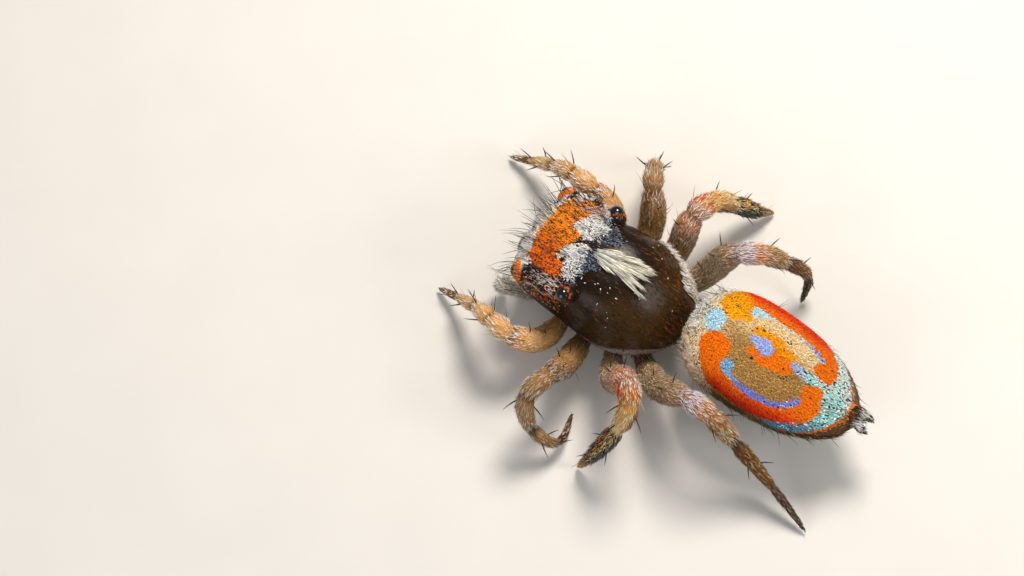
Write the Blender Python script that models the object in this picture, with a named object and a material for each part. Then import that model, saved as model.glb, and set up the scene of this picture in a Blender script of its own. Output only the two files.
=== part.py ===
# A male peacock spider at life size, standing as it was photographed.
# Worked in millimetres: the head faces -Y, the spider's left is +X, the floor is z = 0
# and the rear eyes stand at y = 0. The last step centres the model and brings it to metres.

import math
import random

import bmesh
import bpy
from mathutils import Matrix, Vector

MM = 0.001
ORIGIN = (0.042, 1.081)    # the place on the floor that becomes the origin, in the middle of the feet
GAP = 0.035            # between two nodes that touch
SEED = 7

# Carapace: a box with rounded edges, broad in front, that slopes down behind the rear eyes.
# Each profile pairs a place along the body with a size there.
CARAPACE = {
    "front": -0.84,
    "rear": 1.40,
    "widths": ((-0.84, 0.62), (-0.60, 0.665), (0.0, 0.71), (0.45, 0.77), (0.85, 0.74), (1.40, 0.52)),
    "tops": (
        (-0.84, 1.24), (-0.50, 1.33), (0.0, 1.43), (0.40, 1.46), (0.75, 1.38), (1.10, 1.16), (1.40, 0.88),
    ),
    "bases": ((-0.84, 0.66), (-0.55, 0.60), (-0.2, 0.54), (0.9, 0.54), (1.40, 0.60)),
    "widest": ((-0.84, 0.50), (-0.45, 0.44), (0.05, 0.26), (0.45, 0.20), (0.95, 0.22), (1.40, 0.40)),
    "squares": ((-0.84, 3.4), (0.10, 3.1), (0.90, 2.4), (1.40, 2.2)),
    "lean": 0.08,
    "blunt": (7.0, 3.6),
}
EYES = {
    "eye_front": {"apart": 0.205, "along": -0.695, "height": 1.06, "radius": 0.185, "sides": 14},
    "eye_side": {"apart": 0.575, "along": -0.665, "height": 1.17, "radius": 0.105, "sides": 10},
    "eye_small": {"apart": 0.662, "along": -0.310, "height": 1.26, "radius": 0.034, "sides": 6},
    "eye_rear": {"apart": 0.622, "along": 0.000, "height": 1.37, "radius": 0.098, "sides": 10},
}
EYE_MOUND = 0.045      # how far the rim round an eye is wider than the eye
EYE_MOUND_DEPTH = 0.060
# The low ridge from each side eye back to the rear eye.
EYE_RIDGE = {"front": (0.580, -0.58, 1.15), "rear": (0.605, -0.08, 1.29), "radius": 0.085, "balls": 5}
# The long hair over the middle of the thorax, which fans out towards the rear.
CREST = {
    "locks": 12, "front": 0.12, "rear": 0.72, "half_width": 0.10, "fan": 0.35, "tilt": 0.24,
    "length": 0.36, "width": 0.085, "thickness": 0.030, "sink": 0.09, "droop": 0.10,
}
# The row of bristles runs across the front edge and turns back along the sides at its corners.
BROW_BRISTLES = {
    "count": 20, "half_width": 0.60, "front": -0.74, "depth": 0.10, "corner": 0.62, "side_run": 0.85,
    "length": (0.16, 0.36), "width": 0.022, "sink": 0.04, "droop": 0.12,
}

# Abdomen: a flat-topped oval shield, with a ledge along its sides where the shield folds over.
ABDOMEN = {
    "front": 1.45,
    "rear": 3.76,
    "widths": ((1.45, 0.66), (1.85, 0.705), (2.45, 0.705), (3.05, 0.655), (3.45, 0.58), (3.76, 0.50)),
    "tops": ((1.45, 1.40), (1.80, 1.51), (2.40, 1.53), (3.00, 1.44), (3.40, 1.29), (3.76, 1.06)),
    "bases": ((1.45, 0.50), (1.90, 0.38), (2.60, 0.34), (3.20, 0.42), (3.76, 0.60)),
    "widest": ((1.45, 0.50), (3.76, 0.50)),
    "squares": ((1.45, 2.25), (3.76, 2.35)),
    "lean": 0.0,
    "blunt": (3.2, 2.8),
}
ABDOMEN_LEDGE = 0.09   # share of the width that the body steps in under the shield's edge
# The abdomen stands a little to the right, most so in front, and its upper side overhangs the thorax.
ABDOMEN_SEAT = {"aside": -0.03, "turn": 0.03, "middle": 2.6, "overhang": 0.20, "height": 0.95}
ABDOMEN_BRISTLES = {
    "front": 12, "sides": 9, "rear": 12,
    "length": (0.10, 0.24), "width": 0.020, "sink": 0.04, "droop": 0.10,
    "sweep": {"front": (0, -0.6, 0.5), "sides": (0, 1.1, 0.1), "rear": (0, 0.9, 0)},
}

SPINNERETS = {"aside": -0.09, "height": 0.87, "along": 3.80, "radius": 0.17, "length": 0.15}
SPINNERET_CONES = {"spread": 0.075, "radius": 0.055, "length": 0.16}
SPINNERET_TUFT = {
    "locks": 12, "length": 0.20, "width": 0.040, "thickness": 0.022, "sink": 0.05, "droop": 0.10,
}

BREAST = {"along": 0.36, "length": 1.36, "width": 0.62, "base": 0.27, "top": 0.49}
MOUTH_PLATE = {"along": -0.30, "length": 0.34, "width": 0.34, "base": 0.29, "top": 0.47}
PLATE_RINGS, PLATE_SIDES = 7, 12
PEDICEL = {"front": 1.06, "rear": 1.47, "heights": (0.44, 0.55), "radius": 0.085}
CHELICERA = {
    "places": ((0.19, -0.56, 0.60), (0.205, -0.64, 0.46), (0.18, -0.65, 0.30), (0.13, -0.62, 0.15)),
    "radii": (0.14, 0.165, 0.145, 0.07),
}
PALP = {
    "places": (
        (0.40, -0.36, 0.38), (0.56, -0.56, 0.50), (0.62, -0.74, 0.52),
        (0.58, -0.88, 0.38), (0.52, -0.90, 0.17),
    ),
    "radii": (0.075, 0.095, 0.090, 0.125, 0.050),
}
PALP_TUFT = {
    "locks": 7, "first": 4, "rows": 6, "length": 0.20, "width": 0.060, "thickness": 0.025,
    "sink": 0.05, "droop": 0.15,
}

# Leg roots: half distance apart and place along, one pair for each number.
LEG_ROOTS = {1: (0.60, -0.02), 2: (0.67, 0.33), 3: (0.64, 0.68), 4: (0.53, 1.00)}
LEG_ROOT_HEIGHT = 0.37
LEG_ROOT_RADIUS = 0.140
LEG_ROOT_START = 0.165  # half distance apart of the inner ends, on the breastplate
LEG_ROOT_FAN = 0.80    # how far along the inner ends stand, as a share of the outer ends
# Joints of each leg as posed; the foot is where it meets the floor.
LEG_JOINTS = {
    "leg_left_1": {
        "bend": (0.93, -0.07, 0.42), "knee": (1.25, -0.42, 0.86), "patella": (1.20, -0.66, 0.84),
        "ankle": (1.07, -0.97, 0.58), "heel": (0.98, -1.30, 0.25), "foot": (0.94, -1.60),
    },
    "leg_left_2": {
        "bend": (1.02, 0.34, 0.48), "knee": (1.50, 0.33, 1.02), "patella": (1.83, 0.22, 0.98),
        "ankle": (2.05, 0.42, 0.54), "heel": (1.95, 0.76, 0.21), "foot": (1.47, 0.66),
    },
    "leg_left_3": {
        "bend": (1.02, 0.95, 0.58), "knee": (1.18, 1.27, 1.40), "patella": (1.39, 1.42, 1.39),
        "ankle": (1.61, 1.41, 1.00), "heel": (1.95, 1.21, 0.42), "foot": (2.02, 1.09),
    },
    "leg_left_4": {
        "bend": (0.77, 1.42, 0.56), "knee": (0.93, 1.97, 1.24), "patella": (0.95, 2.28, 1.20),
        "ankle": (0.99, 2.67, 0.85), "heel": (1.09, 3.30, 0.36), "foot": (1.27, 3.88),
    },
    "leg_right_1": {
        "bend": (-0.89, -0.17, 0.41), "knee": (-0.95, -0.56, 0.78), "patella": (-0.98, -0.82, 0.78),
        "ankle": (-1.03, -1.14, 0.54), "heel": (-1.03, -1.48, 0.24), "foot": (-1.00, -1.76),
    },
    "leg_right_2": {
        "bend": (-0.98, 0.30, 0.46), "knee": (-1.29, 0.12, 0.94), "patella": (-1.47, 0.02, 0.92),
        "ankle": (-1.67, -0.06, 0.54), "heel": (-1.77, -0.11, 0.24), "foot": (-1.89, -0.19),
    },
    "leg_right_3": {
        "bend": (-0.98, 0.72, 0.46), "knee": (-1.24, 0.74, 0.98), "patella": (-1.48, 0.84, 0.99),
        "ankle": (-1.74, 1.02, 0.60), "heel": (-1.92, 1.24, 0.27), "foot": (-2.08, 1.40),
    },
    "leg_right_4": {
        "bend": (-0.86, 1.22, 0.55), "knee": (-0.98, 1.54, 1.34), "patella": (-1.13, 1.78, 1.30),
        "ankle": (-1.31, 2.02, 0.93), "heel": (-1.47, 2.28, 0.42), "foot": (-1.25, 2.30),
    },
}
# Radii with the coat at the root, bend, knee, patella, ankle, heel and foot, for each number.
LEG_RADII = {
    1: (0.120, 0.172, 0.148, 0.140, 0.112, 0.082, 0.052),
    2: (0.120, 0.185, 0.150, 0.140, 0.112, 0.082, 0.052),
    3: (0.120, 0.185, 0.158, 0.150, 0.130, 0.100, 0.055),
    4: (0.120, 0.195, 0.155, 0.148, 0.118, 0.082, 0.052),
}
SWELL = 0.10           # how much each stretch between two joints swells in its middle
LEG_SIDES = 10
SPAN_RINGS = 4         # rings from one joint to the next
PAD = {"radius": 0.072, "height": 0.07}
# Spines of each stretch: share of the way along it and degrees round it, from its upper side.
SPINES = {
    "femur": ((0.55, 0), (0.80, 25), (0.86, -25)),
    "tibia": ((0.58, 70), (0.64, -70), (0.88, 10)),
    "foot": ((0.22, 80), (0.28, -80), (0.47, 20)),
}
SPINE_LENGTHS = {"femur": 0.27, "tibia": 0.22, "foot": 0.18}
SPINE_WIDTH = 0.030
SPINE_LEAN = 50        # degrees off the leg's own direction
BRUSH = {
    "rows": (75, 110), "locks": 5, "from": 0.04, "to": 0.50,
    "length": 0.21, "width": 0.075, "thickness": 0.028, "sink": 0.06, "droop": 0.15,
}

COLOURS = {
    "carapace": (0.045, 0.030, 0.022),
    "underside": (0.20, 0.13, 0.08),
    "abdomen": (0.80, 0.28, 0.06),
    "spinnerets": (0.09, 0.085, 0.08),
    "chelicera": (0.16, 0.10, 0.06),
    "palp": (0.62, 0.57, 0.50),
    "eye": (0.010, 0.010, 0.012),
    "leg": (0.40, 0.27, 0.16),
}
ROUGHNESS = {"eye": 0.08, "carapace": 0.30}
USUAL_ROUGHNESS = 0.60


def clear_scene():
    for old in list(bpy.data.objects):
        bpy.data.objects.remove(old, do_unlink=True)


def value_at(profile, place):
    """The size at a place, on a smooth curve through a profile's pairs."""
    if place <= profile[0][0]:
        return profile[0][1]
    if place >= profile[-1][0]:
        return profile[-1][1]
    i = next(n for n in range(len(profile) - 1) if place <= profile[n + 1][0])
    (y0, v0), (y1, v1) = profile[i], profile[i + 1]
    before, after = profile[max(i - 1, 0)], profile[min(i + 2, len(profile) - 1)]
    span = y1 - y0
    slope0 = (v1 - before[1]) / (y1 - before[0]) * span
    slope1 = (after[1] - v0) / (after[0] - y0) * span
    t = (place - y0) / span
    ease = t * t * (3 - 2 * t)
    return v0 + (v1 - v0) * ease + slope0 * t * (1 - t) ** 2 - slope1 * t * t * (1 - t)


def signed_power(value, power):
    return math.copysign(abs(value) ** power, value)


def smooth_step(low, high, value):
    t = min(max((value - low) / (high - low), 0), 1)
    return t * t * (3 - 2 * t)


class Body:
    """A rounded form whose squarish cross-section changes along its length."""

    def __init__(self, sizes, ledge=0.0):
        self.sizes = sizes
        self.ledge = ledge

    def point(self, share, turn):
        """The point a share of the way from front to rear, turned round from the left side."""
        sizes = self.sizes
        place = sizes["front"] + (sizes["rear"] - sizes["front"]) * share
        swing = 2 * share - 1
        blunt = sizes["blunt"][0] if swing < 0 else sizes["blunt"][1]
        fill = max(1 - abs(swing) ** blunt, 0) ** (1 / blunt)
        top, base = value_at(sizes["tops"], place), value_at(sizes["bases"], place)
        middle = base + (top - base) * value_at(sizes["widest"], place)
        power = 2 / value_at(sizes["squares"], place)
        rise = signed_power(math.sin(turn), power)
        width = value_at(sizes["widths"], place) * fill * (1 - sizes["lean"] * rise)
        width *= 1 - self.ledge * smooth_step(0.05, 0.40, -rise)
        across = width * signed_power(math.cos(turn), power)
        reach = top - middle if rise > 0 else middle - base
        return Vector((across, place, middle + reach * fill * rise))

    def outward(self, share, turn):
        step = 0.01
        low, high = max(share - step, 0.001), min(share + step, 0.999)
        lengthwise = self.point(high, turn) - self.point(low, turn)
        round_it = self.point(share, turn + step) - self.point(share, turn - step)
        return lengthwise.cross(round_it).normalized()

    def rings(self, stations, sides):
        shares = [(1 - math.cos(math.pi * (s + 0.5) / stations)) / 2 for s in range(stations)]
        return [[self.point(share, 2 * math.pi * k / sides) for k in range(sides)] for share in shares]


def object_from(name, shape):
    bmesh.ops.recalc_face_normals(shape, faces=shape.faces)
    bmesh.ops.triangulate(shape, faces=shape.faces)
    mesh = bpy.data.meshes.new(name)
    shape.to_mesh(mesh)
    shape.free()
    made = bpy.data.objects.new(name, mesh)
    bpy.context.collection.objects.link(made)
    return made


def skin_over(name, rings, tip=None):
    """A closed skin over rings of points; the last ring is capped flat or drawn to a tip."""
    shape = bmesh.new()
    made = [[shape.verts.new(point) for point in ring] for ring in rings]
    count = len(made[0])
    for ring, after in zip(made, made[1:]):
        for i in range(count):
            j = (i + 1) % count
            shape.faces.new((ring[i], ring[j], after[j], after[i]))
    shape.faces.new(made[0])
    if tip is None:
        shape.faces.new(made[-1])
    else:
        end = shape.verts.new(tip)
        for i in range(count):
            shape.faces.new((made[-1][i], made[-1][(i + 1) % count], end))
    return object_from(name, shape)


def ball(name, centre, radius, sides):
    shape = bmesh.new()
    bmesh.ops.create_uvsphere(shape, u_segments=sides, v_segments=sides // 2 + 1, radius=radius)
    bmesh.ops.translate(shape, verts=shape.verts, vec=centre)
    return object_from(name, shape)


def spline(points, count):
    """A smooth, evenly paced path through the points, with count steps between two of them."""
    spans = [(after - point).length for point, after in zip(points, points[1:])]
    steps = [(after - point) / span for point, after, span in zip(points, points[1:], spans)]
    ways = [steps[0]]
    for i in range(1, len(steps)):
        ways.append((steps[i - 1] * spans[i] + steps[i] * spans[i - 1]) / (spans[i] + spans[i - 1]))
    ways.append(steps[-1])
    path = []
    for i in range(len(steps)):
        for s in range(count):
            t = s / count
            straight = points[i] + steps[i] * spans[i] * t * t * (3 - 2 * t)
            path.append(straight + spans[i] * (ways[i] * t * (1 - t) ** 2 - ways[i + 1] * t * t * (1 - t)))
    path.append(points[-1].copy())
    return path


def relaxed(path, passes):
    """The path with its sharpest turns eased and its ends kept."""
    for _ in range(passes):
        inner = [(a + b * 2 + c) / 4 for a, b, c in zip(path, path[1:], path[2:])]
        path = [path[0], *inner, path[-1]]
    return path


def headings(path):
    last = len(path) - 1
    return [(path[min(i + 1, last)] - path[max(i - 1, 0)]).normalized() for i in range(last + 1)]


def tube(name, path, ahead, radii, sides):
    """A round tube along a path; its frame is carried along, so it never twists."""
    rings = []
    side = ahead[0].orthogonal()
    for point, heading, radius in zip(path, ahead, radii):
        side = (side - heading * side.dot(heading)).normalized()
        up = heading.cross(side)
        turns = [2 * math.pi * k / sides for k in range(sides)]
        rings.append([point + radius * (math.cos(a) * side + math.sin(a) * up) for a in turns])
    return skin_over(name, rings)


def blade(root, lie, outward, length, sizes):
    """A tapered spine or flat lock: rooted a little inside the surface and bent towards its lie."""
    width, sink, droop = sizes["width"], sizes["sink"], sizes["droop"]
    thickness = sizes.get("thickness", width)
    start = root - lie * sink
    side = lie.cross(outward).normalized()
    flat = side.cross(lie).normalized()
    rings = []
    for share, size in ((0.0, 0.8), (0.45, 1.0)):
        centre = start + lie * (length + sink) * share - outward * droop * length * share ** 2
        half, rise = side * width * size / 2, flat * thickness * size / 2
        rings.append([centre + half, centre + rise, centre - half, centre - rise])
    return skin_over("blade", rings, start + lie * (length + sink) - outward * droop * length)


def change_by(node, pieces, operation):
    """Joins pieces to a node, or cuts them from it, and keeps its largest closed surface."""
    group = bpy.data.collections.new("pieces")
    for piece in pieces:
        group.objects.link(piece)
    change = node.modifiers.new("change", "BOOLEAN")
    change.operation = operation
    change.operand_type = "COLLECTION"
    change.collection = group
    change.solver = "MANIFOLD"
    with bpy.context.temp_override(object=node, active_object=node, selected_objects=[node]):
        bpy.ops.object.modifier_apply(modifier=change.name)
    for piece in pieces:
        bpy.data.objects.remove(piece, do_unlink=True)
    bpy.data.collections.remove(group)
    keep_largest(node.data)


def keep_largest(mesh):
    shape = bmesh.new()
    shape.from_mesh(mesh)
    bmesh.ops.triangulate(shape, faces=shape.faces)
    left, groups = set(shape.verts), []
    while left:
        waiting = [left.pop()]
        group = set(waiting)
        while waiting:
            for edge in waiting.pop().link_edges:
                near = [vert for vert in edge.verts if vert in left]
                left.difference_update(near)
                group.update(near)
                waiting.extend(near)
        groups.append(group)
    groups.sort(key=len)
    for group in groups[:-1]:
        bmesh.ops.delete(shape, geom=list(group), context="VERTS")
    shape.to_mesh(mesh)
    shape.free()


def finish(node, kind):
    material = bpy.data.materials.new(node.name)
    material.use_nodes = True
    shader = material.node_tree.nodes["Principled BSDF"]
    shader.inputs["Base Color"].default_value = (*COLOURS[kind], 1)
    shader.inputs["Roughness"].default_value = ROUGHNESS.get(kind, USUAL_ROUGHNESS)
    node.data.materials.clear()
    node.data.materials.append(material)


def eye_places(sizes):
    for side, word in ((1, "left"), (-1, "right")):
        yield word, Vector((side * sizes["apart"], sizes["along"], sizes["height"]))


def crest_locks(body):
    """The long hair that lies back over the middle of the thorax."""
    locks = []
    for n in range(CREST["locks"]):
        row = n / (CREST["locks"] - 1)
        place = CREST["front"] + (CREST["rear"] - CREST["front"]) * row
        aside = (-1) ** n * random.uniform(0.1, 1.0)
        across = CREST["half_width"] * (CREST["fan"] + row) * aside
        root, outward = on_roof(body, across, place)
        lie = Vector((CREST["fan"] * aside, 1, 0)).normalized()
        lie = (lie - outward * lie.dot(outward) + outward * CREST["tilt"]).normalized()
        length = CREST["length"] * random.uniform(0.8, 1.1)
        locks.append(blade(root, lie, outward, length, CREST))
    return locks


def on_roof(body, across, place):
    """The point on a body's upper side that lies straight above a point of its plan."""
    sizes = body.sizes
    share = (place - sizes["front"]) / (sizes["rear"] - sizes["front"])
    low, high = 0.02, math.pi - 0.02
    for _ in range(24):
        turn = (low + high) / 2
        if body.point(share, turn).x > across:
            low = turn
        else:
            high = turn
    return body.point(share, turn), body.outward(share, turn)


def brow_bristles(body):
    """Long bristles that stand forwards from the front edge and the sides of the eye field."""
    bristles = []
    row = BROW_BRISTLES
    for n in range(row["count"]):
        swing = -1 + 2 * (n + random.uniform(0.2, 0.8)) / row["count"]
        across = row["half_width"] * max(-1, min(1, swing / row["corner"]))
        past_corner = max(abs(swing) - row["corner"], 0) / (1 - row["corner"])
        place = row["front"] + row["depth"] * random.random() + row["side_run"] * past_corner
        root, outward = on_roof(body, across, place)
        lie = (outward + Vector((0.9 * swing, -1.1, 0.1)) * random.uniform(0.7, 1.2)).normalized()
        bristles.append(blade(root, lie, outward, random.uniform(*row["length"]), row))
    return bristles


def ridge_balls():
    balls = []
    for side in (1, -1):
        for n in range(EYE_RIDGE["balls"]):
            place = Vector(EYE_RIDGE["front"]).lerp(Vector(EYE_RIDGE["rear"]), n / (EYE_RIDGE["balls"] - 1))
            balls.append(ball("ridge", Vector((side * place.x, place.y, place.z)), EYE_RIDGE["radius"], 8))
    return balls


def make_carapace():
    body = Body(CARAPACE)
    node = skin_over("carapace", body.rings(22, 26))
    mounds = ridge_balls()
    for name in ("eye_side", "eye_rear", "eye_front"):
        sizes = EYES[name]
        for _, centre in eye_places(sizes):
            inward = Vector((-centre.x, 0.25 - centre.y, 1.0 - centre.z)).normalized()
            radius = sizes["radius"] + EYE_MOUND
            mounds.append(ball("mound", centre + inward * EYE_MOUND_DEPTH, radius, sizes["sides"]))
    change_by(node, mounds + crest_locks(body) + brow_bristles(body), "UNION")
    sockets = [
        ball("socket", centre, sizes["radius"] + GAP / 2, sizes["sides"])
        for sizes in EYES.values() for _, centre in eye_places(sizes)
    ]
    change_by(node, sockets, "DIFFERENCE")
    finish(node, "carapace")


def make_eyes():
    for name, sizes in EYES.items():
        for word, centre in eye_places(sizes):
            finish(ball(f"{name}_{word}", centre, sizes["radius"], sizes["sides"]), "eye")


def abdomen_bristles(body):
    """Bristles forwards at the front edge, outwards along the ledge and backwards at the tail."""
    sweep = {where: Vector(way) for where, way in ABDOMEN_BRISTLES["sweep"].items()}
    places = []
    for n in range(ABDOMEN_BRISTLES["front"]):
        turn = math.pi * (0.12 + 0.76 * n / (ABDOMEN_BRISTLES["front"] - 1))
        places.append((random.uniform(0.012, 0.05), turn, sweep["front"]))
    for side in (0, math.pi):
        for n in range(ABDOMEN_BRISTLES["sides"]):
            share = 0.12 + 0.80 * n / (ABDOMEN_BRISTLES["sides"] - 1)
            turn = side + random.uniform(-0.25, 0.10) * (1 if side == 0 else -1)
            places.append((share, turn, sweep["sides"]))
    for n in range(ABDOMEN_BRISTLES["rear"]):
        turn = math.pi * (-0.10 + 1.20 * n / (ABDOMEN_BRISTLES["rear"] - 1))
        places.append((random.uniform(0.95, 0.985), turn, sweep["rear"]))
    bristles = []
    for share, turn, way in places:
        root, outward = body.point(share, turn), body.outward(share, turn)
        lie = (outward + way * random.uniform(0.7, 1.3)).normalized()
        length = random.uniform(*ABDOMEN_BRISTLES["length"])
        bristles.append(blade(root, lie, outward, length, ABDOMEN_BRISTLES))
    return bristles


def make_abdomen():
    body = Body(ABDOMEN, ABDOMEN_LEDGE)
    node = skin_over("abdomen", body.rings(22, 28))
    change_by(node, abdomen_bristles(body), "UNION")
    seat(node, ABDOMEN_SEAT["aside"])
    finish(node, "abdomen")


def seat(node, aside):
    """Moves a part of the abdomen aside, and its upper side forwards over the thorax."""
    slant = Matrix.Identity(4)
    slant[0][1] = ABDOMEN_SEAT["turn"]
    slant[0][3] = aside - ABDOMEN_SEAT["turn"] * ABDOMEN_SEAT["middle"]
    slant[1][2] = -ABDOMEN_SEAT["overhang"]
    slant[1][3] = ABDOMEN_SEAT["overhang"] * ABDOMEN_SEAT["height"]
    node.data.transform(slant)


def make_spinnerets():
    along, height = SPINNERETS["along"], SPINNERETS["height"]
    path = [Vector((0, along - SPINNERETS["length"] * (1 - t), height)) for t in (0, 0.45, 0.8, 1)]
    radii = [SPINNERETS["radius"] * share for share in (0.75, 1.0, 0.85, 0.45)]
    node = tube("spinnerets", path, headings(path), radii, 14)
    pieces = []
    for side, rise in ((1, 0.55), (-1, 0.55), (1, -0.55), (-1, -0.55)):
        spread = SPINNERET_CONES["spread"]
        start = Vector((side * spread, along - 0.06, height + rise * spread))
        end = start + Vector((side * 0.02, SPINNERET_CONES["length"] + 0.06, rise * 0.04))
        steps = [start.lerp(end, t) for t in (0, 0.6, 1)]
        sizes = [SPINNERET_CONES["radius"] * share for share in (1, 0.9, 0.45)]
        pieces.append(tube("cone", steps, headings(steps), sizes, 8))
    for n in range(SPINNERET_TUFT["locks"]):
        turn = 2 * math.pi * (n + random.uniform(-0.3, 0.3)) / SPINNERET_TUFT["locks"]
        outward = Vector((math.cos(turn), 0, math.sin(turn)))
        root = Vector((0, along - 0.05, height)) + outward * SPINNERETS["radius"] * 0.80
        lie = (Vector((0, 1, 0)) + outward * random.uniform(0.15, 0.7)).normalized()
        length = SPINNERET_TUFT["length"] * random.uniform(0.7, 1.1)
        pieces.append(blade(root, lie, outward, length, SPINNERET_TUFT))
    change_by(node, pieces, "UNION")
    seat(node, SPINNERETS["aside"])
    finish(node, "spinnerets")


def plate(name, sizes):
    """A low plate, oval from above, such as the breastplate."""
    base, top = sizes["base"], sizes["top"]
    rings = []
    for s in range(PLATE_RINGS):
        swing = -math.cos(math.pi * (s + 0.5) / PLATE_RINGS)
        fill = (1 - abs(swing) ** 2.4) ** (1 / 2.4)
        rise = (top - base) / 2 * (0.5 + 0.5 * fill)
        ring = []
        for k in range(PLATE_SIDES):
            turn = 2 * math.pi * k / PLATE_SIDES
            across = sizes["width"] / 2 * fill * signed_power(math.cos(turn), 0.8)
            height = (base + top) / 2 + rise * signed_power(math.sin(turn), 0.8)
            ring.append(Vector((across, sizes["along"] + sizes["length"] / 2 * swing, height)))
        rings.append(ring)
    return skin_over(name, rings)


def make_underside():
    """The breastplate, the mouth plate before it and the roots of the eight legs."""
    node = plate("underside", BREAST)
    pieces = [plate("plate", MOUTH_PLATE)]
    for out, place in LEG_ROOTS.values():
        for side in (1, -1):
            inner = BREAST["along"] + (place - BREAST["along"]) * LEG_ROOT_FAN
            start = Vector((side * LEG_ROOT_START, inner, LEG_ROOT_HEIGHT))
            end = Vector((side * out, place, LEG_ROOT_HEIGHT))
            path = [start.lerp(end, t) for t in (0, 0.3, 0.7, 1)]
            radii = [LEG_ROOT_RADIUS * share for share in (0.70, 1.0, 1.0, 0.84)]
            pieces.append(tube("root", path, headings(path), radii, 8))
    change_by(node, pieces, "UNION")
    finish(node, "underside")


def make_pedicel():
    low, high = PEDICEL["heights"]
    path = spline([
        Vector((0, PEDICEL["front"], low)),
        Vector((0, (PEDICEL["front"] + PEDICEL["rear"]) / 2, (low + high) / 2)),
        Vector((0, PEDICEL["rear"], high)),
    ], 2)
    node = tube("pedicel", path, headings(path), [PEDICEL["radius"]] * len(path), 12)
    finish(node, "underside")


def sizes_along(sizes, count, swell):
    """Radii at every step of a spline, swelling between its points."""
    found = []
    for start, end in zip(sizes, sizes[1:]):
        for s in range(count):
            t = s / count
            found.append((start + (end - start) * t) * (1 + swell * 4 * t * (1 - t)))
    return found + [sizes[-1]]


def make_mouth():
    for side, word in ((1, "left"), (-1, "right")):
        path = spline([Vector((side * x, y, z)) for x, y, z in CHELICERA["places"]], 3)
        radii = sizes_along(CHELICERA["radii"], 3, 0.05)
        finish(tube(f"chelicera_{word}", path, headings(path), radii, 12), "chelicera")

        path = spline([Vector((side * x, y, z)) for x, y, z in PALP["places"]], 3)
        ahead = headings(path)
        radii = sizes_along(PALP["radii"], 3, 0.08)
        node = tube(f"palp_{word}", path, ahead, radii, 12)
        locks = []
        for n in range(PALP_TUFT["locks"]):
            i = PALP_TUFT["first"] + n % PALP_TUFT["rows"]
            outward = Vector((side * 1.0, random.uniform(-0.9, 0.1), random.uniform(-0.1, 0.6)))
            outward = (outward - ahead[i] * outward.dot(ahead[i])).normalized()
            root = path[i] + outward * radii[i] * 0.95
            lie = (ahead[i] + outward * 0.55).normalized()
            locks.append(blade(root, lie, outward, PALP_TUFT["length"], PALP_TUFT))
        change_by(node, locks, "UNION")
        finish(node, "palp")


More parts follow.
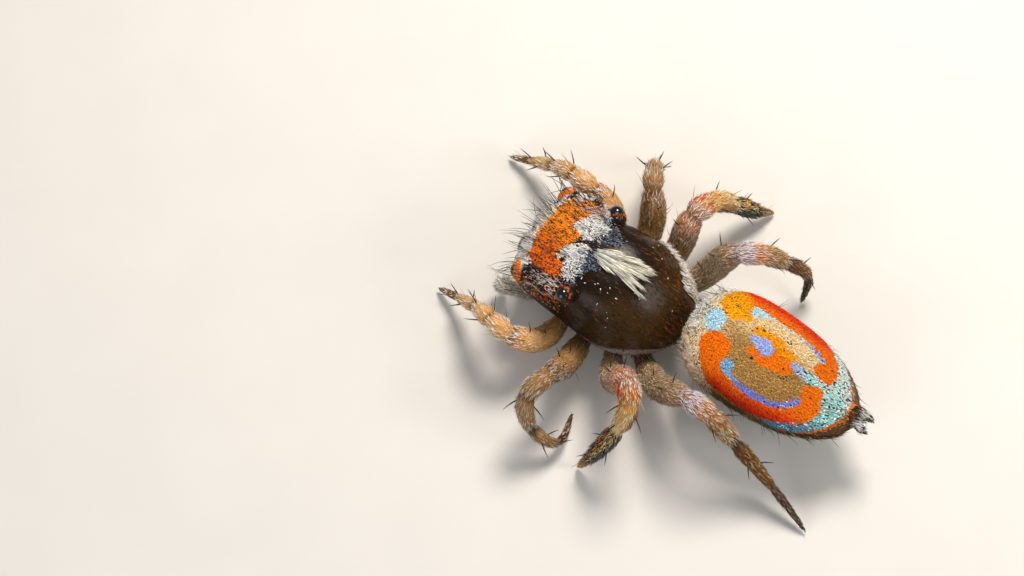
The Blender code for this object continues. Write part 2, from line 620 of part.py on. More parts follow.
class Leg:
    """One posed leg: a smooth path through its joints, with a radius at each step."""

    def __init__(self, name):
        self.name = name
        self.number = int(name[-1])
        joints = LEG_JOINTS[name]
        side = 1 if "left" in name else -1
        out, place = LEG_ROOTS[self.number]
        self.foot = Vector((*joints["foot"], 0))
        stops = [Vector((side * out, place, LEG_ROOT_HEIGHT))]
        stops += [Vector(joints[stop]) for stop in ("bend", "knee", "patella", "ankle", "heel")]
        stops.append(self.foot + Vector((0, 0, PAD["height"] * 0.8)))
        self.path = relaxed(spline(stops, SPAN_RINGS), 2)
        self.ahead = headings(self.path)
        self.radii = sizes_along(LEG_RADII[self.number], SPAN_RINGS, SWELL)

    def at(self, step):
        """Point, heading and radius at a step of the path, which may lie between two rings."""
        i = min(int(step), len(self.path) - 2)
        t = step - i
        point = self.path[i].lerp(self.path[i + 1], t)
        ahead = self.ahead[i].lerp(self.ahead[i + 1], t).normalized()
        return point, ahead, self.radii[i] + (self.radii[i + 1] - self.radii[i]) * t

    def surface(self, step, degrees):
        """A point on the leg and the way out of it, turned round from its upper side."""
        point, ahead, radius = self.at(step)
        up = Vector((0, 0, 1)) - ahead * ahead.z
        up = (up if up.length > 0.05 else Vector((0, -1, 0))).normalized()
        outward = Matrix.Rotation(math.radians(degrees), 3, ahead) @ up
        return point + outward * radius * 0.96, outward, ahead

    def stretch(self, word, first, last):
        """One node of the leg, cut square to the path with half a gap at each joint."""
        path = [point.copy() for point in self.path[first:last + 1]]
        path[0] += self.ahead[first] * (GAP if first == 0 else GAP / 2)
        if last < len(self.path) - 1:
            path[-1] -= self.ahead[last] * GAP / 2
        ahead, radii = self.ahead[first:last + 1], self.radii[first:last + 1]
        node = tube(f"{self.name}_{word}", path, ahead, radii, LEG_SIDES)
        pieces = self.spines(word, first, last)
        if word == "foot":
            pieces.append(self.pad())
        if self.number == 3 and word == "foot":
            pieces += self.brush(first, last)
        change_by(node, pieces, "UNION")
        finish(node, "leg")

    def spines(self, word, first, last):
        spines = []
        sizes = {"width": SPINE_WIDTH, "sink": 0.05, "droop": 0.08}
        for share, degrees in SPINES[word]:
            step = first + (last - first) * (share + random.uniform(-0.02, 0.02))
            root, outward, ahead = self.surface(step, degrees + random.uniform(-8, 8))
            tilt = math.radians(SPINE_LEAN)
            lie = ahead * math.cos(tilt) + outward * math.sin(tilt)
            length = SPINE_LENGTHS[word] * random.uniform(0.85, 1.15)
            spines.append(blade(root, lie, outward, length, sizes))
        return spines

    def brush(self, first, last):
        """The dark fringe down both sides of the third leg's long foot."""
        locks = []
        for degrees in BRUSH["rows"]:
            for side in (1, -1):
                for n in range(BRUSH["locks"]):
                    share = BRUSH["from"] + (BRUSH["to"] - BRUSH["from"]) * (n + 0.5) / BRUSH["locks"]
                    step = first + (last - first) * share
                    root, outward, ahead = self.surface(step, side * degrees)
                    lie = (ahead + outward * 0.5).normalized()
                    length = BRUSH["length"] * random.uniform(0.8, 1.15)
                    locks.append(blade(root, lie, outward, length, BRUSH))
        return locks

    def pad(self):
        heights = (0, PAD["height"] * 0.5, PAD["height"])
        path = [self.foot + Vector((0, 0, height)) for height in heights]
        radii = [PAD["radius"], PAD["radius"], PAD["radius"] * 0.7]
        return tube("pad", path, headings(path), radii, 12)


def make_leg(name):
    leg = Leg(name)
    leg.stretch("femur", 0, 2 * SPAN_RINGS)
    leg.stretch("tibia", 2 * SPAN_RINGS, 4 * SPAN_RINGS)
    leg.stretch("foot", 4 * SPAN_RINGS, 6 * SPAN_RINGS)


def main():
    random.seed(SEED)
    clear_scene()
    make_carapace()
    make_eyes()
    make_abdomen()
    make_spinnerets()
    make_underside()
    make_pedicel()
    make_mouth()
    for name in LEG_JOINTS:
        make_leg(name)
    to_metres = Matrix.Scale(MM, 4) @ Matrix.Translation(Vector((-ORIGIN[0], -ORIGIN[1], 0)))
    for node in bpy.context.collection.objects:
        node.data.transform(to_metres)


main()
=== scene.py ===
# A male peacock spider at life size: its skin, scales, hair and eyes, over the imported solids.
# All of it is modelled with 1 mm as 1 unit, the head towards -Y and the rear eyes at y = 0,
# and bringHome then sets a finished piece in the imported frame, in metres.
import math

import bpy
import numpy as np
from mathutils import Matrix, Vector
from mathutils.kdtree import KDTree


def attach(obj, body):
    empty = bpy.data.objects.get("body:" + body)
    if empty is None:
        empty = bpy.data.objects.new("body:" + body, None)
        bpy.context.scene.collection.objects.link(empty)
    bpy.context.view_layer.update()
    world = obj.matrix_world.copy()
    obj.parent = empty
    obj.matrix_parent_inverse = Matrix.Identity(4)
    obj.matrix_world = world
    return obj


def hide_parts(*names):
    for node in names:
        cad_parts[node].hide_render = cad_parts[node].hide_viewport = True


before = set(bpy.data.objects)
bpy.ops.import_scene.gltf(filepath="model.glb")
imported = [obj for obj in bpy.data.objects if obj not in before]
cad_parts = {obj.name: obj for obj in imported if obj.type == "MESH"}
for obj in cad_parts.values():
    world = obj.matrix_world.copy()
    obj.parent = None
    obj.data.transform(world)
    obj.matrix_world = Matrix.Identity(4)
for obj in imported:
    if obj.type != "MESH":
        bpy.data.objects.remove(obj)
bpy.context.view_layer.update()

dice = np.random.default_rng(23)

home = {"origin": (0.042, 1.081), "metres": 0.001}


def bringHome(piece):
    bpy.ops.object.select_all(action="DESELECT")
    shift = Matrix.Translation((-home["origin"][0], -home["origin"][1], 0))
    piece.data.transform(Matrix.Scale(home["metres"], 4) @ shift @ piece.matrix_world)
    piece.matrix_world = Matrix.Identity(4)


def pickOnly(piece):
    bpy.ops.object.select_all(action="DESELECT")
    piece.select_set(True)
    bpy.context.view_layer.objects.active = piece


def applyAll(piece):
    pickOnly(piece)
    for change in list(piece.modifiers):
        bpy.ops.object.modifier_apply(modifier=change.name)


# Colours and small helpers
def tint(code, dim=1.0):
    parts = [int(code[i:i + 2], 16) / 255 for i in (0, 2, 4)]
    return np.array([p / 12.92 if p <= 0.04045 else ((p + 0.055) / 1.055) ** 2.4 for p in parts]) * dim


def ease(low, high, value):
    share = np.clip((value - low) / (high - low), 0, 1)
    return share * share * (3 - 2 * share)


def mixed(first, second, share):
    share = np.asarray(share)[:, None]
    return first * (1 - share) + second * share


def unit(vectors):
    return vectors / np.maximum(np.linalg.norm(vectors, axis=1, keepdims=True), 1e-9)


def dot(first, second):
    return (first * second).sum(1)


wobbleWays = unit(dice.normal(size=(7, 3))) * dice.uniform(3.5, 9.0, (7, 1))


def wobble(places, size):
    # a smooth unevenness between about -1 and 1, with bumps about size across
    total = np.zeros(len(places))
    for n, way in enumerate(wobbleWays):
        total += np.sin(places @ way / size + 1.7 * n)
    return total / math.sqrt(len(wobbleWays)) / 1.2


def curveThrough(pairs, count=240):
    # a smooth table through (place, size) pairs, as places and sizes
    places = np.linspace(pairs[0][0], pairs[-1][0], count)
    sizes = np.empty(count)
    for n, place in enumerate(places):
        i = min(max(k for k in range(len(pairs)) if pairs[k][0] <= place), len(pairs) - 2)
        (y0, v0), (y1, v1) = pairs[i], pairs[i + 1]
        before, after = pairs[max(i - 1, 0)], pairs[min(i + 2, len(pairs) - 1)]
        slope0 = (v1 - before[1]) / (y1 - before[0]) * (y1 - y0)
        slope1 = (after[1] - v0) / (after[0] - y0) * (y1 - y0)
        t = (place - y0) / (y1 - y0)
        sizes[n] = v0 + (v1 - v0) * t * t * (3 - 2 * t) + slope0 * t * (1 - t) ** 2 - slope1 * t * t * (1 - t)
    return places, sizes


# Camera, light and floor
view = {
    "towards": (0.295, 0.1825),      # across and along, of one step from the spider to the camera
    "aim": (0.845, -0.595, 1.27),    # what stands in the middle of the photo
    "width": 12.49,
    "distance": 110.0,
    "sensor": 36.0,
    "clip": (0.002, 5.0),
}
studio = {
    "floor": 90.0,
    "floorTint": "d9d5cf",
    "sky": 0.30,
    "lamps": (
        {"name": "keyLamp", "from": (-15.0, -3.0, 25.0), "size": 11.0, "power": 0.0092, "tint": "fff8ee"},
        {"name": "fillLamp", "from": (22.0, -4.0, 14.0), "size": 18.0, "power": 0.0020, "tint": "f1f6ff"},
        {"name": "rimLamp", "from": (-6.0, 24.0, 16.0), "size": 12.0, "power": 0.0026, "tint": "ffffff"},
    ),
}


def homePoint(point):
    x, y, z = point
    return Vector((x - home["origin"][0], y - home["origin"][1], z)) * home["metres"]


def makeCamera():
    cx, cy = view["towards"]
    towards = Vector((cx, cy, math.sqrt(1 - cx * cx - cy * cy)))
    right = Vector((-cy, cx, 0)).normalized()
    up = towards.cross(right)
    data = bpy.data.cameras.new("camera")
    camera = bpy.data.objects.new("camera", data)
    bpy.context.scene.collection.objects.link(camera)
    place = homePoint(view["aim"]) + towards * view["distance"] * home["metres"]
    camera.matrix_world = Matrix.Translation(place) @ Matrix((right, up, towards)).transposed().to_4x4()
    data.sensor_width = view["sensor"]
    data.lens = view["sensor"] * view["distance"] / view["width"]
    data.clip_start, data.clip_end = view["clip"]
    bpy.context.scene.camera = camera


def makeStudio():
    for lamp in studio["lamps"]:
        data = bpy.data.lights.new(lamp["name"], "AREA")
        data.shape = "DISK"
        data.size = lamp["size"] * home["metres"]
        data.energy = lamp["power"]
        data.color = tint(lamp["tint"])
        light = bpy.data.objects.new(lamp["name"], data)
        bpy.context.scene.collection.objects.link(light)
        light.location = Vector(lamp["from"]) * home["metres"]
        light.rotation_euler = (-light.location).to_track_quat("-Z", "Y").to_euler()
    world = bpy.data.worlds.new("studioSky")
    world.use_nodes = True
    world.node_tree.nodes["Background"].inputs["Color"].default_value = (1, 1, 1, 1)
    world.node_tree.nodes["Background"].inputs["Strength"].default_value = studio["sky"]
    bpy.context.scene.world = world
    bpy.context.scene.view_settings.view_transform = "Standard"
    bpy.ops.mesh.primitive_plane_add(size=studio["floor"] * home["metres"])
    floor = bpy.context.active_object
    floor.name = "floor"
    finish = Finish("floorFinish", roughness=0.75)
    grain = finish.noise(900, detail=4)
    finish.colour(finish.ramp(grain, tint(studio["floorTint"], 0.97), tint(studio["floorTint"])))
    floor.data.materials.append(finish.material)


class Finish:
    # a material being put together: its shader, and the nodes that lead to it
    def __init__(self, name, roughness=0.5, specular=0.5, coat=0.0, coatRoughness=0.1):
        self.material = bpy.data.materials.new(name)
        self.material.use_nodes = True
        self.tree = self.material.node_tree
        self.shader = self.tree.nodes["Principled BSDF"]
        self.shader.inputs["Roughness"].default_value = roughness
        self.shader.inputs["Specular IOR Level"].default_value = specular
        self.shader.inputs["Coat Weight"].default_value = coat
        self.shader.inputs["Coat Roughness"].default_value = coatRoughness
        self.where = self.tree.nodes.new("ShaderNodeTexCoord").outputs["Object"]

    def link(self, source, target):
        self.tree.links.new(source, target)

    def added(self, kind, sizes, word, source):
        # a new node with its sizes, and one of its inputs linked to a source
        node = self.tree.nodes.new("ShaderNode" + kind)
        for size, value in sizes.items():
            node.inputs[size].default_value = value
        self.link(source, node.inputs[word])
        return node

    def noise(self, scale, detail=3):
        sizes = {"Scale": scale, "Detail": detail, "Roughness": 0.55}
        return self.added("TexNoise", sizes, "Vector", self.where).outputs["Fac"]

    def ramp(self, source, low, high):
        node = self.added("ValToRGB", {}, "Fac", source)
        for stop, place, colour in zip(node.color_ramp.elements, (0.3, 0.7), (low, high)):
            stop.position = place
            stop.color = (*colour, 1)
        return node.outputs["Color"]

    def level(self, source, low, high):
        sizes = {"From Min": 0.25, "From Max": 0.75, "To Min": low, "To Max": high}
        return self.added("MapRange", sizes, "Value", source).outputs["Result"]

    def painted(self):
        node = self.tree.nodes.new("ShaderNodeAttribute")
        node.attribute_name = "coat"
        return node.outputs["Color"]

    def times(self, first, second):
        node = self.tree.nodes.new("ShaderNodeMix")
        node.data_type = "RGBA"
        node.blend_type = "MULTIPLY"
        node.inputs["Factor"].default_value = 1.0
        self.link(first, node.inputs["A"])
        self.link(second, node.inputs["B"])
        return node.outputs["Result"]

    def colour(self, source):
        self.link(source, self.shader.inputs["Base Color"])

    def rough(self, source):
        self.link(source, self.shader.inputs["Roughness"])

    def bump(self, source, distance, strength):
        node = self.added("Bump", {"Distance": distance, "Strength": strength}, "Height", source)
        self.link(node.outputs["Normal"], self.shader.inputs["Normal"])


# The two halves of the body, in profile: each pair is a place along the body and a size there
carapace = {
    "front": -0.84,
    "rear": 1.40,
    "widths": ((-0.84, 0.62), (-0.60, 0.665), (0.0, 0.71), (0.45, 0.77), (0.85, 0.74), (1.40, 0.52)),
    "tops": (
        (-0.84, 1.24), (-0.50, 1.33), (0.0, 1.43), (0.40, 1.46), (0.75, 1.38), (1.10, 1.16), (1.40, 0.88),
    ),
    "bases": ((-0.84, 0.66), (-0.55, 0.60), (-0.2, 0.54), (0.9, 0.54), (1.40, 0.60)),
    "widest": ((-0.84, 0.50), (-0.45, 0.44), (0.05, 0.26), (0.45, 0.20), (0.95, 0.22), (1.40, 0.40)),
    "squares": ((-0.84, 3.4), (0.10, 3.1), (0.90, 2.4), (1.40, 2.2)),
    "lean": 0.08,
    "ledge": 0.0,
    "blunt": (7.0, 3.6),
    "coatDepth": 0.018,
}
abdomen = {
    "front": 1.45,
    "rear": 3.76,
    "widths": ((1.45, 0.66), (1.85, 0.705), (2.45, 0.705), (3.05, 0.655), (3.45, 0.58), (3.76, 0.50)),
    "tops": ((1.45, 1.40), (1.80, 1.51), (2.40, 1.53), (3.00, 1.44), (3.40, 1.29), (3.76, 1.06)),
    "bases": ((1.45, 0.50), (1.90, 0.38), (2.60, 0.34), (3.20, 0.42), (3.76, 0.60)),
    "widest": ((1.45, 0.50), (3.76, 0.50)),
    "squares": ((1.45, 2.25), (3.76, 2.35)),
    "lean": 0.0,
    "ledge": 0.09,
    "blunt": (3.2, 2.8),
    "coatDepth": 0.022,
    "aside": -0.03,      # it stands a little to the right
    "turn": 0.03,        # most so in front
    "overhang": 0.20,    # and its upper side leans forwards over the thorax
    "pivot": (2.6, 0.95),
}
profileWords = ("widths", "tops", "bases", "widest", "squares")


for body in (carapace, abdomen):
    body["tables"] = {word: curveThrough(body[word]) for word in profileWords}


def sectionAt(body, along):
    # the cross-section at places along a body: half width, height of its widest place, reach above
    # and below that, and squareness
    swing = 2 * (along - body["front"]) / (body["rear"] - body["front"]) - 1
    blunt = np.where(swing < 0, body["blunt"][0], body["blunt"][1])
    fill = np.clip(1 - np.abs(swing) ** blunt, 0, 1) ** (1 / blunt)
    width, top, base, widest, square = (np.interp(along, *body["tables"][word]) for word in profileWords)
    middle = base + (top - base) * widest
    return width * fill, middle, (top - middle) * fill, (middle - base) * fill, square


def shapeBall(piece, body):
    # a sphere with its poles front and back becomes the body: rings keep their place in the round
    count = len(piece.data.vertices)
    points = np.empty(count * 3)
    piece.data.vertices.foreach_get("co", points)
    points = unit(points.reshape(-1, 3))
    along = body["front"] + (body["rear"] - body["front"]) * (points[:, 1] + 1) / 2
    turn = np.arctan2(points[:, 2], points[:, 0])
    halfWidth, middle, upper, lower, square = sectionAt(body, along)
    rise = np.sign(np.sin(turn)) * np.abs(np.sin(turn)) ** (2 / square)
    reach = np.sign(np.cos(turn)) * np.abs(np.cos(turn)) ** (2 / square)
    halfWidth = halfWidth * (1 - body["lean"] * rise) * (1 - body["ledge"] * ease(0.05, 0.40, -rise))
    shaped = np.stack([halfWidth * reach, along, middle + np.where(rise > 0, upper, lower) * rise], 1)
    piece.data.vertices.foreach_set("co", shaped.ravel())


def makeBody(name, body):
    bpy.ops.mesh.primitive_uv_sphere_add(segments=96, ring_count=80, rotation=(math.radians(90), 0, 0))
    piece = bpy.context.active_object
    piece.name = name
    bpy.ops.object.transform_apply(rotation=True)
    shapeBall(piece, body)
    bpy.ops.object.mode_set(mode="EDIT")
    bpy.ops.mesh.select_all(action="SELECT")
    bpy.ops.mesh.normals_make_consistent(inside=False)
    bpy.ops.transform.shrink_fatten(value=-body["coatDepth"])
    bpy.ops.object.mode_set(mode="OBJECT")
    return piece


def seated(aside):
    # moves a part of the abdomen aside, and its upper side forwards
    slant = Matrix.Identity(4)
    along, height = abdomen["pivot"]
    slant[0][1] = abdomen["turn"]
    slant[0][3] = aside - abdomen["turn"] * along
    slant[1][2] = -abdomen["overhang"]
    slant[1][3] = abdomen["overhang"] * height
    return slant


def unseated(points):
    # where points of the seated abdomen stand on its straight form
    back = np.array(seated(abdomen["aside"]).inverted())
    return points @ back[:3, :3].T + back[:3, 3]


# Eyes: half distance apart, place along, height and radius
eyes = {
    "eye_front": {"apart": 0.205, "along": -0.695, "height": 1.06, "radius": 0.185},
    "eye_side": {"apart": 0.575, "along": -0.665, "height": 1.17, "radius": 0.105},
    "eye_small": {"apart": 0.662, "along": -0.310, "height": 1.26, "radius": 0.034},
    "eye_rear": {"apart": 0.622, "along": 0.000, "height": 1.37, "radius": 0.098},
}
# each eye sits on a mound, deeper by depth towards the heart of the head, and faces away from it
eyeMound = {"rim": 0.034, "depth": 0.060, "heart": (0, 0.25, 1.0)}


def eyePlaces():
    for name, sizes in eyes.items():
        for side, word in ((1, "left"), (-1, "right")):
            centre = Vector((side * sizes["apart"], sizes["along"], sizes["height"]))
            yield name, word, centre, sizes["radius"]


# The low ridge from each side eye back to the rear eye
eyeRidge = {"front": (0.580, -0.58, 1.15), "rear": (0.605, -0.08, 1.29), "radius": 0.070, "balls": 7}


def makeMounds():
    mounds = []
    for side in (1, -1):
        for n in range(eyeRidge["balls"]):
            x, y, z = Vector(eyeRidge["front"]).lerp(Vector(eyeRidge["rear"]), n / (eyeRidge["balls"] - 1))
            bpy.ops.mesh.primitive_uv_sphere_add(
                segments=24, ring_count=16, radius=eyeRidge["radius"], location=(side * x, y, z)
            )
            mounds.append(bpy.context.active_object)
    for *_, centre, radius in eyePlaces():
        inward = (Vector(eyeMound["heart"]) - centre).normalized()
        bpy.ops.mesh.primitive_uv_sphere_add(
            segments=32, ring_count=20, radius=radius + eyeMound["rim"],
            location=centre + inward * eyeMound["depth"],
        )
        mounds.append(bpy.context.active_object)
    return mounds


# Legs, jaws and feelers: each is a path with a radius at every joint
legs = {
    "root": {1: (0.60, -0.02), 2: (0.67, 0.33), 3: (0.64, 0.68), 4: (0.53, 1.00)},
    "rootHeight": 0.37,
    "joints": {
        "left_1": ((0.93, -0.07, 0.42), (1.25, -0.42, 0.86), (1.20, -0.66, 0.84), (1.07, -0.97, 0.58),
                   (0.98, -1.30, 0.25), (0.94, -1.60)),
        "left_2": ((1.02, 0.34, 0.48), (1.50, 0.33, 1.02), (1.83, 0.22, 0.98), (2.05, 0.42, 0.54),
                   (1.95, 0.76, 0.21), (1.47, 0.66)),
        "left_3": ((1.02, 0.95, 0.58), (1.18, 1.27, 1.40), (1.39, 1.42, 1.39), (1.61, 1.41, 1.00),
                   (1.95, 1.21, 0.42), (2.02, 1.09)),
        "left_4": ((0.77, 1.42, 0.56), (0.93, 1.97, 1.24), (0.95, 2.28, 1.20), (0.99, 2.67, 0.85),
                   (1.09, 3.30, 0.36), (1.27, 3.88)),
        "right_1": ((-0.89, -0.17, 0.41), (-0.95, -0.56, 0.78), (-0.98, -0.82, 0.78), (-1.03, -1.14, 0.54),
                    (-1.03, -1.48, 0.24), (-1.00, -1.76)),
        "right_2": ((-0.98, 0.30, 0.46), (-1.29, 0.12, 0.94), (-1.47, 0.02, 0.92), (-1.67, -0.06, 0.54),
                    (-1.77, -0.11, 0.24), (-1.89, -0.19)),
        "right_3": ((-0.98, 0.72, 0.46), (-1.24, 0.74, 0.98), (-1.48, 0.84, 0.99), (-1.74, 1.02, 0.60),
                    (-1.92, 1.24, 0.27), (-2.08, 1.40)),
        "right_4": ((-0.86, 1.22, 0.55), (-0.98, 1.54, 1.34), (-1.13, 1.78, 1.30), (-1.31, 2.02, 0.93),
                    (-1.47, 2.28, 0.42), (-1.25, 2.30)),
    },
    "radii": {
        1: (0.120, 0.172, 0.148, 0.140, 0.112, 0.082, 0.052),
        2: (0.120, 0.185, 0.150, 0.140, 0.112, 0.082, 0.052),
        3: (0.120, 0.185, 0.158, 0.150, 0.130, 0.100, 0.055),
        4: (0.120, 0.195, 0.155, 0.148, 0.118, 0.082, 0.052),
    },
    "swell": 0.10,
    "coatDepth": 0.026,
    "pinches": ((0.35, 0.10, 0.10), (2, 0.20, 0.11), (3, 0.10, 0.10), (4, 0.20, 0.10), (5, 0.12, 0.10)),
    "rings": 4,
    "finer": 4,
}


def smoothPath(points, count):
    # a smooth, evenly paced path through the points
    spans = [np.linalg.norm(after - point) for point, after in zip(points, points[1:])]
    steps = [(after - point) / span for point, after, span in zip(points, points[1:], spans)]
    ways = [steps[0]]
    for i in range(1, len(steps)):
        ways.append((steps[i - 1] * spans[i] + steps[i] * spans[i - 1]) / (spans[i] + spans[i - 1]))
    ways.append(steps[-1])
    path = []
    for i in range(len(steps)):
        for s in range(count):
            t = s / count
            straight = points[i] + steps[i] * spans[i] * t * t * (3 - 2 * t)
            path.append(straight + spans[i] * (ways[i] * t * (1 - t) ** 2 - ways[i + 1] * t * t * (1 - t)))
    return path + [points[-1]]


def relaxed(path, passes):
    for _ in range(passes):
        path = [path[0], *[(a + b * 2 + c) / 4 for a, b, c in zip(path, path[1:], path[2:])], path[-1]]
    return path


def legPath(word):
    number, side = int(word[-1]), 1 if "left" in word else -1
    out, place = legs["root"][number]
    *joints, foot = legs["joints"][word]
    stops = [(side * out * 0.82, place, legs["rootHeight"]), *joints, (*foot, 0.056)]
    coarse = relaxed(smoothPath([np.array(stop, float) for stop in stops], legs["rings"]), 2)
    fine = np.array(smoothPath(coarse, legs["finer"]))
    stage = np.linspace(0, 6, len(fine))
    radii = np.interp(stage, range(7), legs["radii"][number])
    part = stage % 1
    radii = radii * (1 + legs["swell"] * 4 * part * (1 - part)) - legs["coatDepth"]
    for joint, depth, spread in legs["pinches"]:
        radii *= 1 - depth * np.exp(-((stage - joint) / spread) ** 2)
    radii[-3:] *= (0.95, 0.85, 0.6)
    return fine, stage, radii


jaws = {
    "places": ((0.19, -0.50, 0.62), (0.205, -0.64, 0.46), (0.18, -0.65, 0.30), (0.13, -0.62, 0.15)),
    "radii": (0.13, 0.155, 0.135, 0.045),
}
feelers = {
    "places": (
        (0.40, -0.36, 0.38), (0.56, -0.56, 0.50), (0.62, -0.74, 0.52), (0.58, -0.88, 0.38),
        (0.52, -0.90, 0.19),
    ),
    "radii": (0.055, 0.070, 0.066, 0.098, 0.035),
}
belly = {
    "breast": ((0, 0.36, 0.38), (0.30, 0.67, 0.10)),
    "mouthPlate": ((0, -0.30, 0.38), (0.16, 0.17, 0.08)),
    "rootHeight": 0.37,
    "rootRadius": 0.115,
    "waist": ((0, 0.98, 0.44), (0, 1.26, 0.495), (0, 1.60, 0.56)),
    "waistRadius": 0.080,
}
tail = {
    "aside": -0.09, "along": 3.80, "height": 0.87, "length": 0.15, "radius": 0.155,
    "spread": 0.075, "cone": 0.045, "reach": 0.15,
}


def makeTube(name, path, radii, sides=20):
    # a curve with a radius at each point, turned into a closed mesh
    data = bpy.data.curves.new(name, "CURVE")
    data.dimensions = "3D"
    data.bevel_depth = 1.0
    data.bevel_resolution = sides // 4 - 1
    data.use_fill_caps = True
    line = data.splines.new("POLY")
    line.points.add(len(path) - 1)
    for point, place, radius in zip(line.points, path, radii):
        point.co = (*place, 1)
        point.radius = radius
    tube = bpy.data.objects.new(name, data)
    bpy.context.scene.collection.objects.link(tube)
    pickOnly(tube)
    bpy.ops.object.convert(target="MESH")
    return bpy.context.active_object


def fineTube(name, places, radii, side=1):
    stops = [np.array((side * x, y, z), float) for x, y, z in places]
    path = smoothPath(stops, 8)
    sizes = np.interp(np.linspace(0, len(radii) - 1, len(path)), range(len(radii)), radii)
    return makeTube(name, path, sizes), np.array(path)


def makeLump(centre, sizes):
    bpy.ops.mesh.primitive_uv_sphere_add(segments=32, ring_count=20, location=centre, scale=sizes)
    lump = bpy.context.active_object
    bpy.ops.object.transform_apply(location=False, rotation=False, scale=True)
    return lump


# The one skin: the parts are joined and remeshed into a single surface
skinSettings = {"voxel": 0.0235, "smoothing": 0.5, "passes": 3}
regionNames = ["carapace", "abdomen", *[f"leg_{word}" for word in legs["joints"]],
               "palp_left", "palp_right", "chelicera_left", "chelicera_right", "spinnerets", "underside"]
regionOf = {name: n for n, name in enumerate(regionNames)}


def makeParts():
    parts, paths = [], {}
    parts.append(("carapace", makeBody("carapacePart", carapace)))
    parts += [("carapace", mound) for mound in makeMounds()]
    back = makeBody("abdomenPart", abdomen)
    back.data.transform(seated(abdomen["aside"]))
    parts.append(("abdomen", back))
    for word in legs["joints"]:
        path, stage, radii = legPath(word)
        parts.append((f"leg_{word}", makeTube(f"legPart_{word}", path, radii)))
        paths[f"leg_{word}"] = path, stage, radii
    for side, word in ((1, "left"), (-1, "right")):
        for kind, sizes in (("palp", feelers), ("chelicera", jaws)):
            tube, path = fineTube(f"{kind}Part", sizes["places"], sizes["radii"], side)
            parts.append((f"{kind}_{word}", tube))
            paths[f"{kind}_{word}"] = path, np.linspace(0, 4, len(path)), None
    parts.append(("underside", makeLump(*belly["breast"])))
    parts.append(("underside", makeLump(*belly["mouthPlate"])))
    for number, (out, place) in legs["root"].items():
        for side in (1, -1):
            inner = (side * 0.16, 0.36 + (place - 0.36) * 0.8, belly["rootHeight"])
            outer = (side * out, place, belly["rootHeight"])
            steps = [np.array(inner) + (np.array(outer) - np.array(inner)) * t for t in (0, 0.3, 0.7, 0.95)]
            radii = [belly["rootRadius"] * share for share in (0.7, 1, 1, 0.86)]
            parts.append(("underside", makeTube("rootPart", steps, radii)))
    waist = [np.array(place, float) for place in belly["waist"]]
    parts.append(("underside", makeTube("waistPart", waist, [belly["waistRadius"]] * 3)))
    parts += [("spinnerets", piece) for piece in makeTail()]
    return parts, paths


def makeTail():
    along, height = tail["along"], tail["height"]
    path = np.array([(0, along - tail["length"] * (1 - t), height) for t in (-0.6, 0.45, 0.8, 1)])
    pieces = [makeTube("tailPart", path, [tail["radius"] * s for s in (0.8, 1.0, 0.85, 0.45)])]
    for side, rise in ((1, 0.55), (-1, 0.55), (1, -0.55), (-1, -0.55)):
        start = np.array((side * tail["spread"], along - 0.06, height + rise * tail["spread"]))
        end = start + np.array((side * 0.02, tail["reach"] + 0.06, rise * 0.04))
        steps = np.array([start + (end - start) * t for t in (0, 0.6, 0.9, 1)])
        radii = [tail["cone"] * s for s in (1, 0.9, 0.6, 0.3)]
        pieces.append(makeTube("conePart", steps, radii, 12))
    for piece in pieces:
        piece.data.transform(seated(tail["aside"]))
    return pieces


def meshArrays(piece):
    mesh = piece.data
    points = np.empty(len(mesh.vertices) * 3)
    mesh.vertices.foreach_get("co", points)
    normals = np.empty(len(mesh.vertices) * 3)
    mesh.vertices.foreach_get("normal", normals)
    return points.reshape(-1, 3), normals.reshape(-1, 3)


def makeSkin():
    parts, paths = makeParts()
    marks = []
    for region, piece in parts:
        pickOnly(piece)
        bpy.ops.object.transform_apply(location=True, rotation=True, scale=True)
        marks.append((np.full(len(piece.data.vertices), regionOf[region]), meshArrays(piece)[0]))
    tree = KDTree(sum(len(points) for _, points in marks))
    regions = np.concatenate([ids for ids, _ in marks])
    for n, point in enumerate(np.concatenate([points for _, points in marks])):
        tree.insert(point, n)
    tree.balance()
    bpy.ops.object.select_all(action="DESELECT")
    for _, piece in parts:
        piece.select_set(True)
    bpy.context.view_layer.objects.active = parts[0][1]
    bpy.ops.object.join()
    skin = bpy.context.active_object
    skin.name = "spiderSkin"
    skin.data.materials.clear()
    remesh = skin.modifiers.new("oneSurface", "REMESH")
    remesh.mode = "VOXEL"
    remesh.voxel_size = skinSettings["voxel"]
    smooth = skin.modifiers.new("softened", "SMOOTH")
    smooth.factor = skinSettings["smoothing"]
    smooth.iterations = skinSettings["passes"]
    applyAll(skin)
    bpy.ops.object.shade_smooth()
    points, normals = meshArrays(skin)
    region = np.array([regions[tree.find(point)[1]] for point in points])
    return skin, points, normals, region, paths


print("stage: camera and studio")
makeCamera()
makeStudio()
print("stage: one skin")
skin, skinPoints, skinNormals, skinRegion, limbPaths = makeSkin()
print("skin has", len(skinPoints), "points")


# Where the points of a part stand on it: how far along, and how far round from its upper side
def roundPlaces(points, body):
    # share of a quarter turn from the top towards the left (+) or right (-), and place along
    if body is abdomen:
        points = unseated(points)
    inside = 0.01 * (body["rear"] - body["front"])
    along = np.clip(points[:, 1], body["front"] + inside, body["rear"] - inside)
    halfWidth, middle, upper, lower, _ = sectionAt(body, along)
    rise = points[:, 2] - middle
    turn = np.arctan2(points[:, 0] / halfWidth, rise / np.where(rise > 0, upper, lower))
    return turn / (math.pi / 2), points[:, 1]


